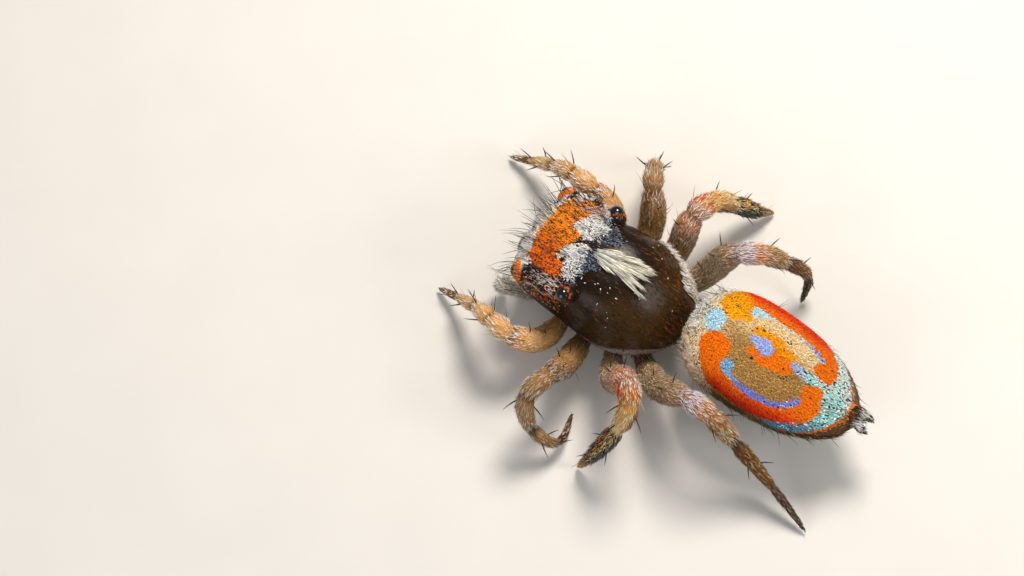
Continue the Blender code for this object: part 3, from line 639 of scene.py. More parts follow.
def limbPlaces(points, name):
    # stage along a limb, degrees round it from its upper side, and the way it heads
    path, stage, _ = limbPaths[name]
    ahead = unit(np.gradient(path, axis=0))
    near = ((points[:, None] - path[None]) ** 2).sum(2).argmin(1)
    heading = ahead[near]
    away = points - path[near]
    step = np.linalg.norm(np.gradient(path, axis=0), axis=1)[near]
    place = stage[near] + dot(away, heading) / step * np.gradient(stage)[near]
    up = np.array((0, 0, 1.0)) - heading * heading[:, 2:3]
    steep = np.linalg.norm(up, axis=1) < 0.05
    up[steep] = (0, -1, 0)
    up = unit(up)
    round_ = np.degrees(np.arctan2(dot(away, np.cross(heading, up)), dot(away, up)))
    return place, round_, heading


def strokeGap(spots, stroke):
    # distance from a stroke drawn through (across, along, half width) stops; below 0 inside it
    best = np.full(len(spots), np.inf)
    for (x0, y0, r0), (x1, y1, r1) in zip(stroke, stroke[1:]):
        start, span = np.array((x0, y0)), np.array((x1 - x0, y1 - y0))
        t = np.clip((spots - start) @ span / (span @ span), 0, 1)
        away = spots - start - t[:, None] * span
        best = np.minimum(best, np.hypot(away[:, 0], away[:, 1]) - (r0 + (r1 - r0) * t))
    return best


# Markings of the abdomen's shield, with painted light on its tan and painted shade on its left band. Outlines
# run through (quarter turns from the midline, place along)
shield = {
    "tan": tint("b0854a"),
    "tanPale": tint("eecb98"),
    "cream": tint("f4e4c8"),
    "white": tint("fdfcfa"),
    "orange": tint("ff7602"),
    "amber": tint("ffa60c"),
    "red": tint("e43c02"),
    # painted shade: a deep red for the left band's outer side, turned from the light
    "shadedRed": tint("b42204"),
    "paleBlue": tint("b6dcf2"),
    "skyBlue": tint("86bce8"),
    "violet": tint("a3b4f2"),
    "deepBlue": tint("7a86d8"),
    "turquoise": tint("8ad2d2"),
    "teal": tint("4c93b2"),
    "paleGreen": tint("d6f4ea"),
    "side": tint("6a5a36"),
    "belly": tint("8a7a5e"),
    "dark": tint("17130f"),
    "rust": tint("c8601a"),
    "leftOrange": [
        (0.13, 1.9), (0.11, 1.98), (0.13, 2.08), (0.17, 2.19), (0.24, 2.21), (0.34, 2.18), (0.4, 2.16),
        (0.46, 2.17), (0.5, 2.27), (0.53, 2.39), (0.57, 2.5), (0.59, 2.62), (0.57, 2.81), (0.55, 2.96),
        (0.5, 3.07), (0.42, 3.17), (0.32, 3.2), (0.25, 3.16), (0.16, 3.15), (0.08, 3.18), (0.02, 3.24),
        (-0.02, 3.3), (0, 3.35), (0.06, 3.38), (0.14, 3.39), (0.26, 3.42), (0.4, 3.41), (0.56, 3.35),
        (0.64, 3.25), (0.7, 3.14), (0.76, 3.01), (0.83, 2.85), (0.87, 2.69), (0.86, 2.53), (0.84, 2.39),
        (0.8, 2.26), (0.77, 2.14), (0.72, 2.04), (0.64, 1.98), (0.55, 1.9), (0.45, 1.84), (0.35, 1.79),
        (0.24, 1.8), (0.16, 1.84),
    ],
    "rightOrange": [
        (-0.31, 1.74), (-0.42, 1.74), (-0.54, 1.78), (-0.68, 1.86), (-0.8, 2.02), (-0.86, 2.25),
        (-0.88, 2.55), (-0.87, 2.8), (-0.8, 3), (-0.69, 3.13), (-0.6, 3.24), (-0.51, 3.33), (-0.41, 3.37),
        (-0.32, 3.39), (-0.21, 3.38), (-0.15, 3.34), (-0.11, 3.27), (-0.12, 3.18), (-0.15, 3.13),
        (-0.21, 3.12), (-0.3, 3.16), (-0.36, 3.21), (-0.4, 3.16), (-0.41, 3.05), (-0.4, 2.87),
        (-0.41, 2.72), (-0.4, 2.55), (-0.39, 2.4), (-0.41, 2.27), (-0.41, 2.16), (-0.37, 2.13),
        (-0.3, 2.16), (-0.23, 2.23), (-0.18, 2.25), (-0.15, 2.13), (-0.11, 2.08), (-0.1, 2),
        (-0.11, 1.94), (-0.15, 1.86), (-0.22, 1.79),
    ],
    "horseshoe": [
        (-0.14, 2.3), (-0.18, 2.31), (-0.2, 2.37), (-0.21, 2.44), (-0.22, 2.52), (-0.21, 2.66),
        (-0.18, 2.75), (-0.15, 2.81), (-0.15, 2.88), (-0.12, 2.93), (-0.08, 2.93), (-0.03, 2.88),
        (0, 2.92), (0.05, 2.95), (0.1, 2.95), (0.15, 2.9), (0.17, 2.78), (0.19, 2.66), (0.2, 2.54),
        (0.18, 2.49), (0.15, 2.47), (0.15, 2.37), (0.12, 2.35), (0.09, 2.39), (0.06, 2.45), (0.07, 2.5),
        (0.11, 2.54), (0.08, 2.6), (0.02, 2.66), (-0.03, 2.66), (-0.07, 2.63), (-0.11, 2.57),
        (-0.11, 2.52), (-0.09, 2.48), (-0.08, 2.43), (-0.1, 2.38),
    ],
    "frontBlue": [
        (-0.14, 1.7), (-0.17, 1.75), (-0.16, 1.81), (-0.13, 1.88), (-0.09, 1.95), (-0.03, 1.97),
        (0.04, 1.96), (0.1, 1.95), (0.14, 1.88), (0.17, 1.79), (0.14, 1.75), (0.08, 1.73), (0.04, 1.68),
        (-0.04, 1.67),
    ],
    "middleBlue": [
        (-0.06, 2.34), (-0.07, 2.4), (-0.09, 2.48), (-0.12, 2.53), (-0.11, 2.57), (-0.07, 2.63),
        (-0.02, 2.67), (0.02, 2.66), (0.06, 2.62), (0.11, 2.55), (0.07, 2.52), (0.05, 2.47), (0.02, 2.42),
        (0.01, 2.36), (-0.02, 2.32),
    ],
    "leftBlue": [
        (0.32, 2.23), (0.31, 2.28), (0.35, 2.32), (0.42, 2.33), (0.46, 2.39), (0.5, 2.48), (0.49, 2.62),
        (0.5, 2.76), (0.5, 2.9), (0.44, 3.02), (0.36, 3.1), (0.3, 3.15), (0.3, 3.2), (0.37, 3.2),
        (0.45, 3.13), (0.52, 3.04), (0.57, 2.93), (0.59, 2.75), (0.6, 2.56), (0.55, 2.41), (0.51, 2.3),
        (0.47, 2.19), (0.41, 2.15), (0.36, 2.17),
    ],
    "rightBlue": [
        (-0.37, 2.13), (-0.42, 2.16), (-0.41, 2.27), (-0.41, 2.62), (-0.43, 2.9), (-0.44, 3.11),
        (-0.37, 3.21), (-0.31, 3.17), (-0.35, 3.07), (-0.37, 2.9), (-0.38, 2.72), (-0.38, 2.54),
        (-0.37, 2.42), (-0.33, 2.36), (-0.3, 2.27), (-0.25, 2.21), (-0.29, 2.16),
    ],
    "sea": [
        (-0.02, 2.86), (-0.07, 2.91), (-0.08, 3), (-0.09, 3.1), (-0.11, 3.18), (-0.12, 3.29),
        (-0.2, 3.37), (-0.36, 3.38), (-0.51, 3.32), (-0.62, 3.18), (-0.72, 3.1), (-0.84, 2.95),
        (-0.93, 2.8), (-1, 3), (-1, 3.3), (-0.9, 3.5), (-0.73, 3.58), (-0.5, 3.62), (-0.3, 3.65),
        (-0.06, 3.65), (0.2, 3.64), (0.41, 3.6), (0.57, 3.53), (0.7, 3.44), (0.8, 3.34), (0.88, 3.2),
        (0.92, 3.05), (0.92, 2.9), (0.86, 2.8), (0.72, 3.05), (0.56, 3.33), (0.26, 3.4), (0.02, 3.34),
        (0, 3.28), (0.04, 3.22), (0.07, 3.14), (0.03, 3.08), (0.03, 2.97), (0.01, 2.9),
    ],
    "dashes": ((0.18, 2.44), (-0.19, 2.41), (0.19, 2.86), (-0.30, 1.96), (-0.23, 2.74), (0.12, 2.94)),
}
marginEnd = (
    (-0.8, -0.62, -0.45, -0.32, -0.19, -0.09, 0.0, 0.09, 0.17, 0.33, 0.41, 0.49, 0.58, 0.8),
    (1.98, 1.86, 1.73, 1.72, 1.74, 1.70, 1.66, 1.71, 1.77, 1.77, 1.79, 1.84, 1.92, 2.1),
)
turquoiseEnd = (
    (0, 0.2, 0.4, 0.57, 0.7, 0.8, 0.88, 0.95, 1.02),
    (3.66, 3.65, 3.61, 3.54, 3.46, 3.36, 3.22, 3.0, 2.8),
)


def insideOutline(spots, outline):
    # whether spots lie within a closed outline, from the number of its sides beyond them
    inside = np.zeros(len(spots), bool)
    for (x0, y0), (x1, y1) in zip(outline, outline[1:] + outline[:1]):
        if y0 != y1:
            reach = x0 + (spots[:, 1] - y0) * (x1 - x0) / (y1 - y0)
            inside ^= ((y0 > spots[:, 1]) != (y1 > spots[:, 1])) & (spots[:, 0] < reach)
    return inside


def paint(tints, where, colour, share=1.0):
    amount = np.clip(np.asarray(where, float) * share, 0, 1)[:, None]
    return tints * (1 - amount) + colour * amount


def abdomenTints(points):
    u, along = roundPlaces(points, abdomen)
    spots = np.stack([u, along], 1)
    out = np.abs(u)
    uneven = wobble(points, 0.35)
    tints = np.tile(shield["side"], (len(u), 1))
    tints = paint(tints, ease(1.35, 1.7, out), shield["belly"])
    roof = out < 0.86 + 0.02 * uneven
    # painted light: the tan is painted paler on the right side, which the key lamp lights, and darker on the
    # left; it also turns paler towards the front
    pale = np.maximum(ease(2.3, 1.65, along), ease(0.10, -0.25, u)) * ease(0.75, 0.3, u)
    tints = paint(tints, roof, mixed(shield["tan"], shield["tanPale"], pale))
    margin = ease(0.01, -0.03, along - np.interp(u, *marginEnd) + 0.015 * uneven) * ease(1.15, 0.95, out)
    behind = ease(-0.16, -0.06, along - np.interp(u, *marginEnd))
    edge = mixed(shield["white"], shield["cream"], np.maximum(ease(0.0, -0.4, u), behind))
    edge = mixed(edge, shield["tanPale"], ease(0.05, 0.45, u) * 0.7)
    tints = paint(tints, margin, edge)
    tints = paint(tints, ease(2.05, 1.75, along) * ease(0.25, 0.5, u) * (out < 0.95), shield["cream"], 0.6)
    rear = insideOutline(spots, shield["sea"])
    sea = mixed(shield["turquoise"], shield["paleGreen"], ease(0.30, -0.45, u))
    sea = mixed(sea, shield["teal"], ease(0.45, 0.78, u))
    sea = mixed(shield["violet"], sea, ease(2.95, 3.25, along + out))
    tints = paint(tints, rear, sea)
    ends = np.interp(out, *turquoiseEnd)
    fringe = ease(0.12, 0.02, along - ends) * 0.8
    tints = paint(tints, (along >= ends) & (along > 2.9) & (out < 1.2), shield["rust"], fringe)
    tints = paint(tints, (along >= ends + 0.06) & (along > 2.9) & (out < 1.3), shield["dark"] * 2, 0.8)
    for name, first, second, line in (
        ("frontBlue", "paleBlue", "paleBlue", 1.8), ("middleBlue", "violet", "violet", 2.2),
        ("leftBlue", "skyBlue", "deepBlue", 2.38), ("rightBlue", "paleBlue", "violet", 2.9),
    ):
        shade = mixed(shield[first], shield[second], ease(line - 0.08, line + 0.12, along))
        tints = paint(tints, insideOutline(spots, shield[name]), shade)
    deep = mixed(shield["orange"], shield["red"], ease(0.50, 0.72, out + 0.04 * uneven))
    # painted shade: the outer side of the left band darkens to a deep red
    deep = mixed(deep, shield["shadedRed"], ease(0.68, 0.84, out) * ease(3.3, 3.0, along) * 0.8)
    leftShade = mixed(shield["orange"], deep, ease(1.85, 2.15, along))
    rightDeep = mixed(shield["orange"], shield["red"], ease(0.44, 0.60, out) * ease(3.35, 2.9, along))
    rightShade = mixed(shield["amber"], rightDeep, ease(-0.10, 0.12, (along - 2.05) + (out - 0.45)))
    tints = paint(tints, insideOutline(spots, shield["leftOrange"]), leftShade)
    tints = paint(tints, insideOutline(spots, shield["rightOrange"]), rightShade)
    shoeShade = mixed(shield["amber"], shield["orange"], ease(-0.12, 0.04, u) * 0.8 + 0.2)
    tints = paint(tints, insideOutline(spots, shield["horseshoe"]), shoeShade)
    for place in shield["dashes"]:
        dash = strokeGap(spots, ((*place, 0.010), (place[0] * 0.95, place[1] + 0.05, 0.007)))
        tints = paint(tints, dash < 0, shield["dark"])
    return tints


# Markings of the carapace, and the outlines of its painted steel-blue sheen. Outlines run through (across,
# place along), seen from above
mask = {
    "cuticle": tint("1f1309"),
    "brown": tint("3e2a10"),
    "orange": tint("f0700e"),
    "amber": tint("ff9420"),
    "white": tint("f3efe9"),
    "grey": tint("9a989c"),
    "cream": tint("ecdcc0"),
    "navy": tint("20202c"),
    "slate": tint("17151a"),
    # steel-blue: the colour of the painted sheen of the glossy roof
    "steelSheen": tint("74889e"),
    "rust": tint("8a3c12"),
    "orangePatch": [
        (0.34, -0.72), (0.17, -0.73), (0, -0.73), (-0.15, -0.71), (-0.31, -0.72), (-0.44, -0.67),
        (-0.56, -0.56), (-0.61, -0.44), (-0.61, -0.34), (-0.59, -0.27), (-0.54, -0.23), (-0.48, -0.26),
        (-0.41, -0.29), (-0.34, -0.35), (-0.26, -0.4), (-0.22, -0.4), (-0.18, -0.29), (-0.14, -0.24),
        (-0.09, -0.24), (-0.03, -0.27), (0.05, -0.34), (0.13, -0.37), (0.21, -0.39), (0.25, -0.32),
        (0.28, -0.25), (0.36, -0.19), (0.41, -0.19), (0.45, -0.22), (0.46, -0.34), (0.45, -0.47),
        (0.42, -0.6),
    ],
    "rightWhite": [
        (-0.23, -0.4), (-0.34, -0.35), (-0.44, -0.29), (-0.49, -0.24), (-0.58, -0.23), (-0.63, -0.17),
        (-0.59, -0.08), (-0.52, -0.02), (-0.44, 0.01), (-0.36, 0), (-0.29, 0.01), (-0.2, 0),
        (-0.15, -0.11), (-0.12, -0.16), (-0.15, -0.23), (-0.2, -0.35),
    ],
    "leftWhite": [
        (0.14, -0.37), (0.08, -0.34), (0.02, -0.29), (-0.02, -0.23), (-0.08, -0.11), (-0.07, -0.05),
        (0.04, -0.04), (0.17, -0.04), (0.23, 0), (0.31, -0.01), (0.39, -0.03), (0.43, -0.07),
        (0.42, -0.15), (0.32, -0.23), (0.2, -0.23), (0.16, -0.28),
    ],
    # painted sheen: the two places where the glossy blue-black roof shines steel-blue
    "rightSteelSheen": [
        (-0.46, 0), (-0.46, 0.1), (-0.41, 0.18), (-0.36, 0.25), (-0.29, 0.28), (-0.23, 0.24),
        (-0.18, 0.14), (-0.2, 0.04), (-0.3, 0),
    ],
    "leftSteelSheen": [
        (0.04, -0.06), (0.01, 0.03), (0.04, 0.14), (0.08, 0.21), (0.15, 0.18), (0.2, 0.1), (0.3, 0.06),
        (0.41, 0), (0.4, -0.05), (0.23, -0.02), (0.14, -0.05),
    ],
    "roofHeight": 1.08,
    "spot": (0.20, -0.33),
    "spotRadius": 0.046,
}


def headAreas(points):
    # which parts of the head's roof points stand on: orange, white, and the painted steel-blue sheen
    spots, roof = points[:, :2], points[:, 2] > mask["roofHeight"]
    inside = {name: roof & insideOutline(spots, mask[name]) for name in mask if isinstance(mask[name], list)}
    white = inside["rightWhite"] | inside["leftWhite"]
    steelSheen = (inside["rightSteelSheen"] | inside["leftSteelSheen"]) & ~white
    return inside["orangePatch"] & ~white, white, steelSheen


def carapaceTints(points):
    u, along = roundPlaces(points, carapace)
    x, height = points[:, 0], points[:, 2]
    tints = np.tile(mask["cuticle"], (len(u), 1))
    brown = ease(0.45, 1.25, along + ease(0.1, 0.6, x) * 0.5 + 0.1 * wobble(points, 0.5))
    tints = paint(tints, brown, mask["brown"])
    tints = paint(tints, (height > mask["roofHeight"]) & (along < 0.05), mask["slate"])
    orange, white, steelSheen = headAreas(points)
    # painted sheen: the skin turns a little steel-blue where the roof shines
    tints = paint(tints, steelSheen, mask["steelSheen"], 0.14)
    tints = paint(tints, white, mask["white"], 0.6)
    warm = mixed(mask["amber"], mask["orange"], ease(-0.25, 0.35, x))
    tints = paint(tints, orange, warm)
    face = ease(-0.60, -0.68, along) * ~orange
    tints = paint(tints, face, mixed(mask["cream"], mask["white"], ease(1.0, 1.12, height)), 0.8)
    tints = paint(tints, marginShare(points), mask["white"])
    return tints


def marginShare(points):
    # the pale band low on the carapace's sides
    u, along = roundPlaces(points, carapace)
    upper = np.interp(along, (-0.3, 0.6, 0.85, 1.1, 1.25), (1.00, 0.98, 0.86, 0.82, 0.88))
    lower = np.interp(along, (-0.3, 0.6, 1.25), (1.08, 1.10, 1.12))
    band = ease(0, 0.06, np.abs(u) - upper) * ease(0.06, 0, np.abs(u) - lower)
    return band * np.where(u > 0, 0.3 * ease(0.25, 0.6, along), ease(-0.1, 0.3, along))


# Looks of the limbs: at each stage the cuticle, the hair and a second hair with its share
limbLooks = {
    "legFront": (
        (0.0, "8a6238", "9a8468", "c8b48c", 0.3), (1.2, "c08c4e", "c8ac80", "e8d4b0", 0.3),
        (1.75, "c89050", "f4efe6", "e8a060", 0.25), (1.98, "6a4a2c", "f4efe6", "e07a30", 0.25),
        (2.05, "b88248", "d8c4a0", "f4efe6", 0.4), (2.9, "c08a4c", "dcc8a4", "f4efe6", 0.4),
        (3.0, "4a3220", "6a5236", "c8b48c", 0.3), (3.15, "c89050", "d0b080", "f4efe6", 0.3),
        (3.85, "b88248", "f4efe6", "d8c8aa", 0.3), (4.0, "4a3220", "4a3a28", "c8b48c", 0.3),
        (4.2, "c08c52", "dcc8a4", "f4efe6", 0.35), (4.9, "a07848", "c0a888", "e8dcc4", 0.3),
        (5.1, "5a4028", "cdbfa8", "6a5844", 0.4), (5.6, "7a5a3a", "e8e0d4", "8a7860", 0.35),
        (6.0, "3a2a1c", "5a4c3c", "8a7860", 0.5),
    ),
    "leg3": (
        (0.0, "7a5a3a", "9a8468", "c8b48c", 0.3), (1.3, "b08450", "cdb898", "f2ede4", 0.4),
        # painted highlight: the white hair at the knee, from stage 1.8 to 2.3, paints the knee's glossy
        # highlight
        (1.8, "c07838", "f4efe6", "f09040", 0.4), (2.0, "a06838", "f8f4f0", "e88840", 0.25),
        (2.3, "a46c3c", "f6f0ea", "d8a878", 0.35), (2.55, "b06828", "f0dcc0", "e87830", 0.45),
        (3.0, "b08040", "ecc888", "d88038", 0.35), (3.15, "d0a058", "f0dcb0", "dcae6c", 0.4),
        (3.8, "c89850", "f4e4b8", "cc9c58", 0.35), (3.98, "c8a860", "f6e8b0", "f4ecd0", 0.4),
        (4.1, "2c221c", "e0c88c", "241e1c", 0.6), (4.8, "241c18", "42444a", "c8a468", 0.25),
        (5.1, "3a2c20", "5a5450", "c89c58", 0.35), (5.6, "8a6438", "d8b878", "a88048", 0.35),
        (6.0, "5a4028", "8a7050", "d8b878", 0.3),
    ),
    "leg4": (
        (0.0, "7a5a3a", "9a8468", "c8b48c", 0.3), (1.2, "a07c54", "c8b494", "ece0c8", 0.4),
        # painted highlight: the white and lavender hair at the knee, from stage 2.05 to 2.35, paints the
        # knee's glossy highlight
        (1.85, "94704c", "e0d0b8", "b07840", 0.3), (2.05, "8a5a38", "f2eef0", "d8cce4", 0.3),
        (2.35, "a8886c", "f0ecf0", "d4c8e0", 0.3), (2.6, "a86428", "f0a050", "f0ece8", 0.45),
        (3.0, "94602c", "d8a468", "e8e0e4", 0.35), (3.2, "906838", "ac7e4c", "d8c4a0", 0.35),
        (3.8, "84602f", "b08a58", "e4d8c0", 0.45), (3.95, "2c1e14", "4a3826", "8a7050", 0.3),
        (4.1, "5a3a1c", "7c5228", "b89460", 0.25), (4.8, "6a4420", "86582c", "c8ac80", 0.3),
        (5.1, "4a3220", "685038", "94887c", 0.35), (6.0, "3a281a", "5c5044", "94887c", 0.4),
    ),
    "palp": (
        (0.0, "5a3c26", "cdbfa4", "f4f0e8", 0.4), (1.5, "6a4a30", "f4f0e8", "e0d4c0", 0.4),
        (3.2, "5a3c26", "f0eae0", "c8bca8", 0.4), (4.0, "2c1e14", "5a4c3c", "c8bca8", 0.4),
    ),
    "chelicera": (
        (0.0, "5a3420", "d8ccb8", "8a6a48", 0.4), (1.5, "6a3c22", "b8a488", "8a6a48", 0.5),
        (4.0, "2a140c", "4a3020", "6a4a30", 0.5),
    ),
}


def looksOf(name):
    if name.startswith("leg"):
        return limbLooks[{"1": "legFront", "2": "legFront", "3": "leg3", "4": "leg4"}[name[-1]]]
    return limbLooks[name.split("_")[0]]


def lookAt(name, stage, column):
    looks = looksOf(name)
    stops = [look[0] for look in looks]
    values = np.array([look[column] if column == 4 else tint(look[column]) for look in looks])
    if column == 4:
        return np.interp(stage, stops, values)
    return np.stack([np.interp(stage, stops, values[:, k]) for k in range(3)], 1)


def forwardSide(name, degrees):
    # + on the side of a leg that faces forwards
    return degrees * (1 if "left" in name else -1)


def limbTints(points, name, hair=True):
    stage, degrees, _ = limbPlaces(points, name)
    if not hair:
        return lookAt(name, stage, 1) * {"1": 1.3, "2": 0.62}.get(name[-1], 1)
    first, second = lookAt(name, stage, 2), lookAt(name, stage, 3)
    tints = either(len(points), lookAt(name, stage, 4), second, first)
    front = forwardSide(name, degrees)
    tints = np.clip(tints * {"1": 1.35, "2": 0.72}.get(name[-1], 1), 0, 1)
    if name.endswith("_3"):
        scales = (np.abs(front - 92 - 8 * np.sin(stage * 40)) < 40) & (stage > 1.95) & (stage < 3.05)
        fiery = either(len(points), 0.2, tint("2a1a14"), tint("ea4e12"))
        tints = np.where(scales[:, None], mixed(fiery, tint("f0b040"), ease(2.75, 3.0, stage)), tints)
        stripe = (np.abs(front + 22) < 22) & (stage > 3.9) & (stage < 5.0) & (dice.random(len(points)) < 0.7)
        tints = paint(tints, stripe, either(len(points), 0.5, tint("f0dc9c"), tint("d8963c")))
        middle = (front > 0) & (front < 80) & (stage > 4.05) & (stage < 5.0)
        tints = np.where(middle[:, None], either(len(points), 0.42, tint("e0983a"), tint("1a1614")), tints)
        edge = (front < -50) & (stage > 3.05) & (stage < 3.85)
        tints = paint(tints, edge, tint("8a4420"), 0.8)
    return tints


plainTints = {"underside": tint("6a4a30"), "spinnerets": tint("4a3424")}
paintedGapShade = 0.62    # painted shade: the abdomen's skin is painted darker than the scales over it, so that the gaps between them look shaded


def skinTints(points, region):
    tints = np.zeros((len(points), 3))
    for name, number in regionOf.items():
        here = region == number
        if not here.any():
            continue
        if name == "abdomen":
            # the abdomen's skin carries painted shade under its scales
            tints[here] = abdomenTints(points[here]) * paintedGapShade
        elif name == "carapace":
            tints[here] = carapaceTints(points[here])
        elif name in plainTints:
            tints[here] = plainTints[name]
        else:
            tints[here] = limbTints(points[here], name, hair=False)
    return tints


# The coat: small closed blades of hair and scale, rooted in the skin
tiles = {"carapace": (0, 0, 0.48, 0.48), "abdomen": (0, 0.5, 0.48, 0.48)}
for slotNumber, word in enumerate(regionNames[2:]):
    tiles[word] = (0.51 + 0.25 * (slotNumber % 2), 0.14 * (slotNumber // 2), 0.23, 0.13)


def chartPlaces(points, name):
    # where points of a part lie on the flat unwrap of its own shape
    left, low, wide, high = tiles[name]
    if name in ("abdomen", "carapace"):
        body = abdomen if name == "abdomen" else carapace
        u, along = roundPlaces(points, body)
        across, up = u / 4 + 0.5, (along - body["front"]) / (body["rear"] - body["front"])
    elif name in limbPaths:
        stage, degrees, _ = limbPlaces(points, name)
        across, up = degrees / 360 + 0.5, stage / (6 if name.startswith("leg") else 4)
    else:
        middle = points.mean(0)
        across = np.arctan2(points[:, 0] - middle[0], points[:, 2] - middle[2]) / (2 * math.pi) + 0.5
        up = (points[:, 1] - points[:, 1].min()) / max(np.ptp(points[:, 1]), 1e-6)
    return np.stack([left + wide * np.clip(across, 0, 1), low + high * np.clip(up, 0, 1)], 1)


skin.data.calc_loop_triangles()
triangles = np.empty(len(skin.data.loop_triangles) * 3, int)
skin.data.loop_triangles.foreach_get("vertices", triangles)
triangles = triangles.reshape(-1, 3)
corners = skinPoints[triangles]
edges = corners[:, 1:] - corners[:, :1]
triangleArea = np.linalg.norm(np.cross(edges[:, 0], edges[:, 1]), axis=1) / 2
triangleRegion = skinRegion[triangles[:, 0]]


def scatter(name, density):
    # roots spread evenly over a part of the skin, density of them on each square millimetre
    chosen = np.flatnonzero(triangleRegion == regionOf[name])
    times = np.floor(triangleArea[chosen] * density + dice.random(len(chosen))).astype(int)
    picked = np.repeat(chosen, times)
    reach, swing = np.sqrt(dice.random(len(picked))), dice.random(len(picked))
    shares = np.stack([1 - reach, reach * (1 - swing), reach * swing], 1)[:, :, None]
    roots = (corners[picked] * shares).sum(1)
    return roots, unit((skinNormals[triangles[picked]] * shares).sum(1))


def layDown(ways, normals, scatterBy=0.2):
    # the ways turned a little at random and laid on the surface
    ways = ways + dice.normal(size=ways.shape) * scatterBy
    return unit(ways - normals * dot(ways, normals)[:, None])


def sized(value, count):
    # a size for each blade, from one number, one for each, or a pair to draw between
    return dice.uniform(*value, count) if isinstance(value, tuple) else np.broadcast_to(value, count)


def tufts(name, roots, normals, lies, tints, length, width, vary=None, lift=0.25, bend=0.0, **more):
    # one group of blades
    count = len(roots)
    group = {
        "place": chartPlaces(roots, name), "root": roots, "normal": normals, "lie": lies,
        "length": sized(length, count), "width": sized(width, count),
        "tint": tints if vary is None else varied(tints, vary),
        "lift": sized(lift, count), "bend": sized(bend, count),
        "rings": ((0.45, 1.0),), "sides": 4, "flat": 0.35, "sink": 0.004, "rootShade": 0.6,
    }
    return {**group, "tip": group["tint"], **more}


def grownGroup(group):
    # points, triangles, colours and map places of all blades of a group
    count, sides = len(group["root"]), group["sides"]
    lie, normal = group["lie"], group["normal"]
    side = unit(np.cross(lie, normal))
    lift, bend, length, width = (group[word] for word in ("lift", "bend", "length", "width"))
    start = group["root"] - normal * group["sink"]
    points, tints, places = [], [], []
    for t, share in ((0.0, 0.0), *group["rings"], (1.0, 0.0)):
        mean, final = lift + bend * t / 2, lift + bend * t
        way = np.cos(mean)[:, None] * lie + np.sin(mean)[:, None] * normal
        centre = start + (length * t)[:, None] * way
        up = -np.sin(final)[:, None] * lie + np.cos(final)[:, None] * normal
        dim = group["rootShade"] + (1 - group["rootShade"]) * min(1, t * 2.2)
        colour = (group["tint"] * (1 - t) + group["tip"] * t) * dim
        for k in range(sides if share else 1):
            turn = 2 * math.pi * k / sides
            offset = side * math.cos(turn) + up * math.sin(turn) * group["flat"]
            points.append(centre + offset * (width * share / 2)[:, None])
            tints.append(colour)
            patch = (0.0015 * share * math.cos(turn), 0.003 * (t - 0.5) + 0.0006 * share * math.sin(turn))
            places.append(group["place"] + np.array(patch))
    faces = []
    rings = len(group["rings"])
    for k in range(sides):
        after = (k + 1) % sides
        faces.append((0, 1 + k, 1 + after))
        for ring in range(rings - 1):
            a, b = 1 + ring * sides, 1 + (ring + 1) * sides
            faces += [(a + k, b + k, b + after), (a + k, b + after, a + after)]
        last = 1 + (rings - 1) * sides
        faces.append((last + k, 1 + rings * sides, last + after))
    each = len(points)
    points = np.stack(points, 1).reshape(-1, 3)
    tints = np.stack(tints, 1).reshape(-1, 3)
    places = np.stack(places, 1).reshape(-1, 2)
    faces = (np.array(faces)[None] + (np.arange(count) * each)[:, None, None]).reshape(-1, 3)
    return points, faces, tints, places


def makeCoat(name, groups, finish, replaced=()):
    grown = list(zip(*[grownGroup(group) for group in groups if len(group["root"])]))
    starts = np.cumsum([0] + [len(points) for points in grown[0]])
    points, tints, places = (np.concatenate(grown[k]) for k in (0, 2, 3))
    faces = np.concatenate([part + start for part, start in zip(grown[1], starts)])
    mesh = bpy.data.meshes.new(name)
    mesh.vertices.add(len(points))
    mesh.vertices.foreach_set("co", points.ravel())
    mesh.loops.add(faces.size)
    mesh.loops.foreach_set("vertex_index", faces.ravel())
    mesh.polygons.add(len(faces))
    mesh.polygons.foreach_set("loop_start", np.arange(len(faces)) * 3)
    mesh.update(calc_edges=True)
    colours = mesh.color_attributes.new("coat", "FLOAT_COLOR", "POINT")
    colours.data.foreach_set("color", np.concatenate([tints, np.ones((len(tints), 1))], 1).ravel())
    layer = mesh.uv_layers.new(name="OFBake")
    layer.uv.foreach_set("vector", np.clip(places, 0, 1)[faces.ravel()].ravel())
    coat = bpy.data.objects.new(name, mesh)
    bpy.context.scene.collection.objects.link(coat)
    pickOnly(coat)
    bpy.ops.object.shade_smooth()
    mesh.materials.append(finish.material)
    bringHome(coat)
    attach(coat, "root")
    for node in replaced:
        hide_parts(node)
    print("stage:", name, len(faces), "triangles")
    return coat


def varied(tints, amount):
    # each blade a little lighter or darker, and a little warmer or cooler, than its neighbours
    level = np.exp(dice.normal(size=len(tints)) * amount)[:, None]
    warmth = 1 + dice.normal(size=(len(tints), 3)) * amount * 0.25
    return np.clip(tints * level * warmth, 0, 1)


def either(count, chance, first, second):
    # for each blade the first colour by chance, else the second
    return np.where((dice.random(count) < chance)[:, None], first, second)


def speckled(tints, chance, colour):
    return either(len(tints), chance, colour, tints)


def same(value, count):
    return np.tile(value, (count, 1))


def within(low, high, count):
    return dice.uniform(low, high, count)


def pick(group, keep):
    return [part[keep] for part in group]


def rooted(roots, normals, part, times=1, loose=None):
    # roots and ways out of a part of the skin, some of them used several times, close together
    spots, ups = np.repeat(roots[part], times, 0), np.repeat(normals[part], times, 0)
    if loose is not None:
        spots = spots + dice.normal(size=spots.shape) * np.array(loose)
    return spots, ups


def paintedFinish(name, roughness, specular):
    finish = Finish(name, roughness=roughness, specular=specular)
    finish.colour(finish.painted())
    return finish


scaleFinish = paintedFinish("scaleFinish", 0.5, 0.16)
hairFinish = paintedFinish("hairFinish", 0.5, 0.2)
bristleFinish = paintedFinish("bristleFinish", 0.28, 0.6)

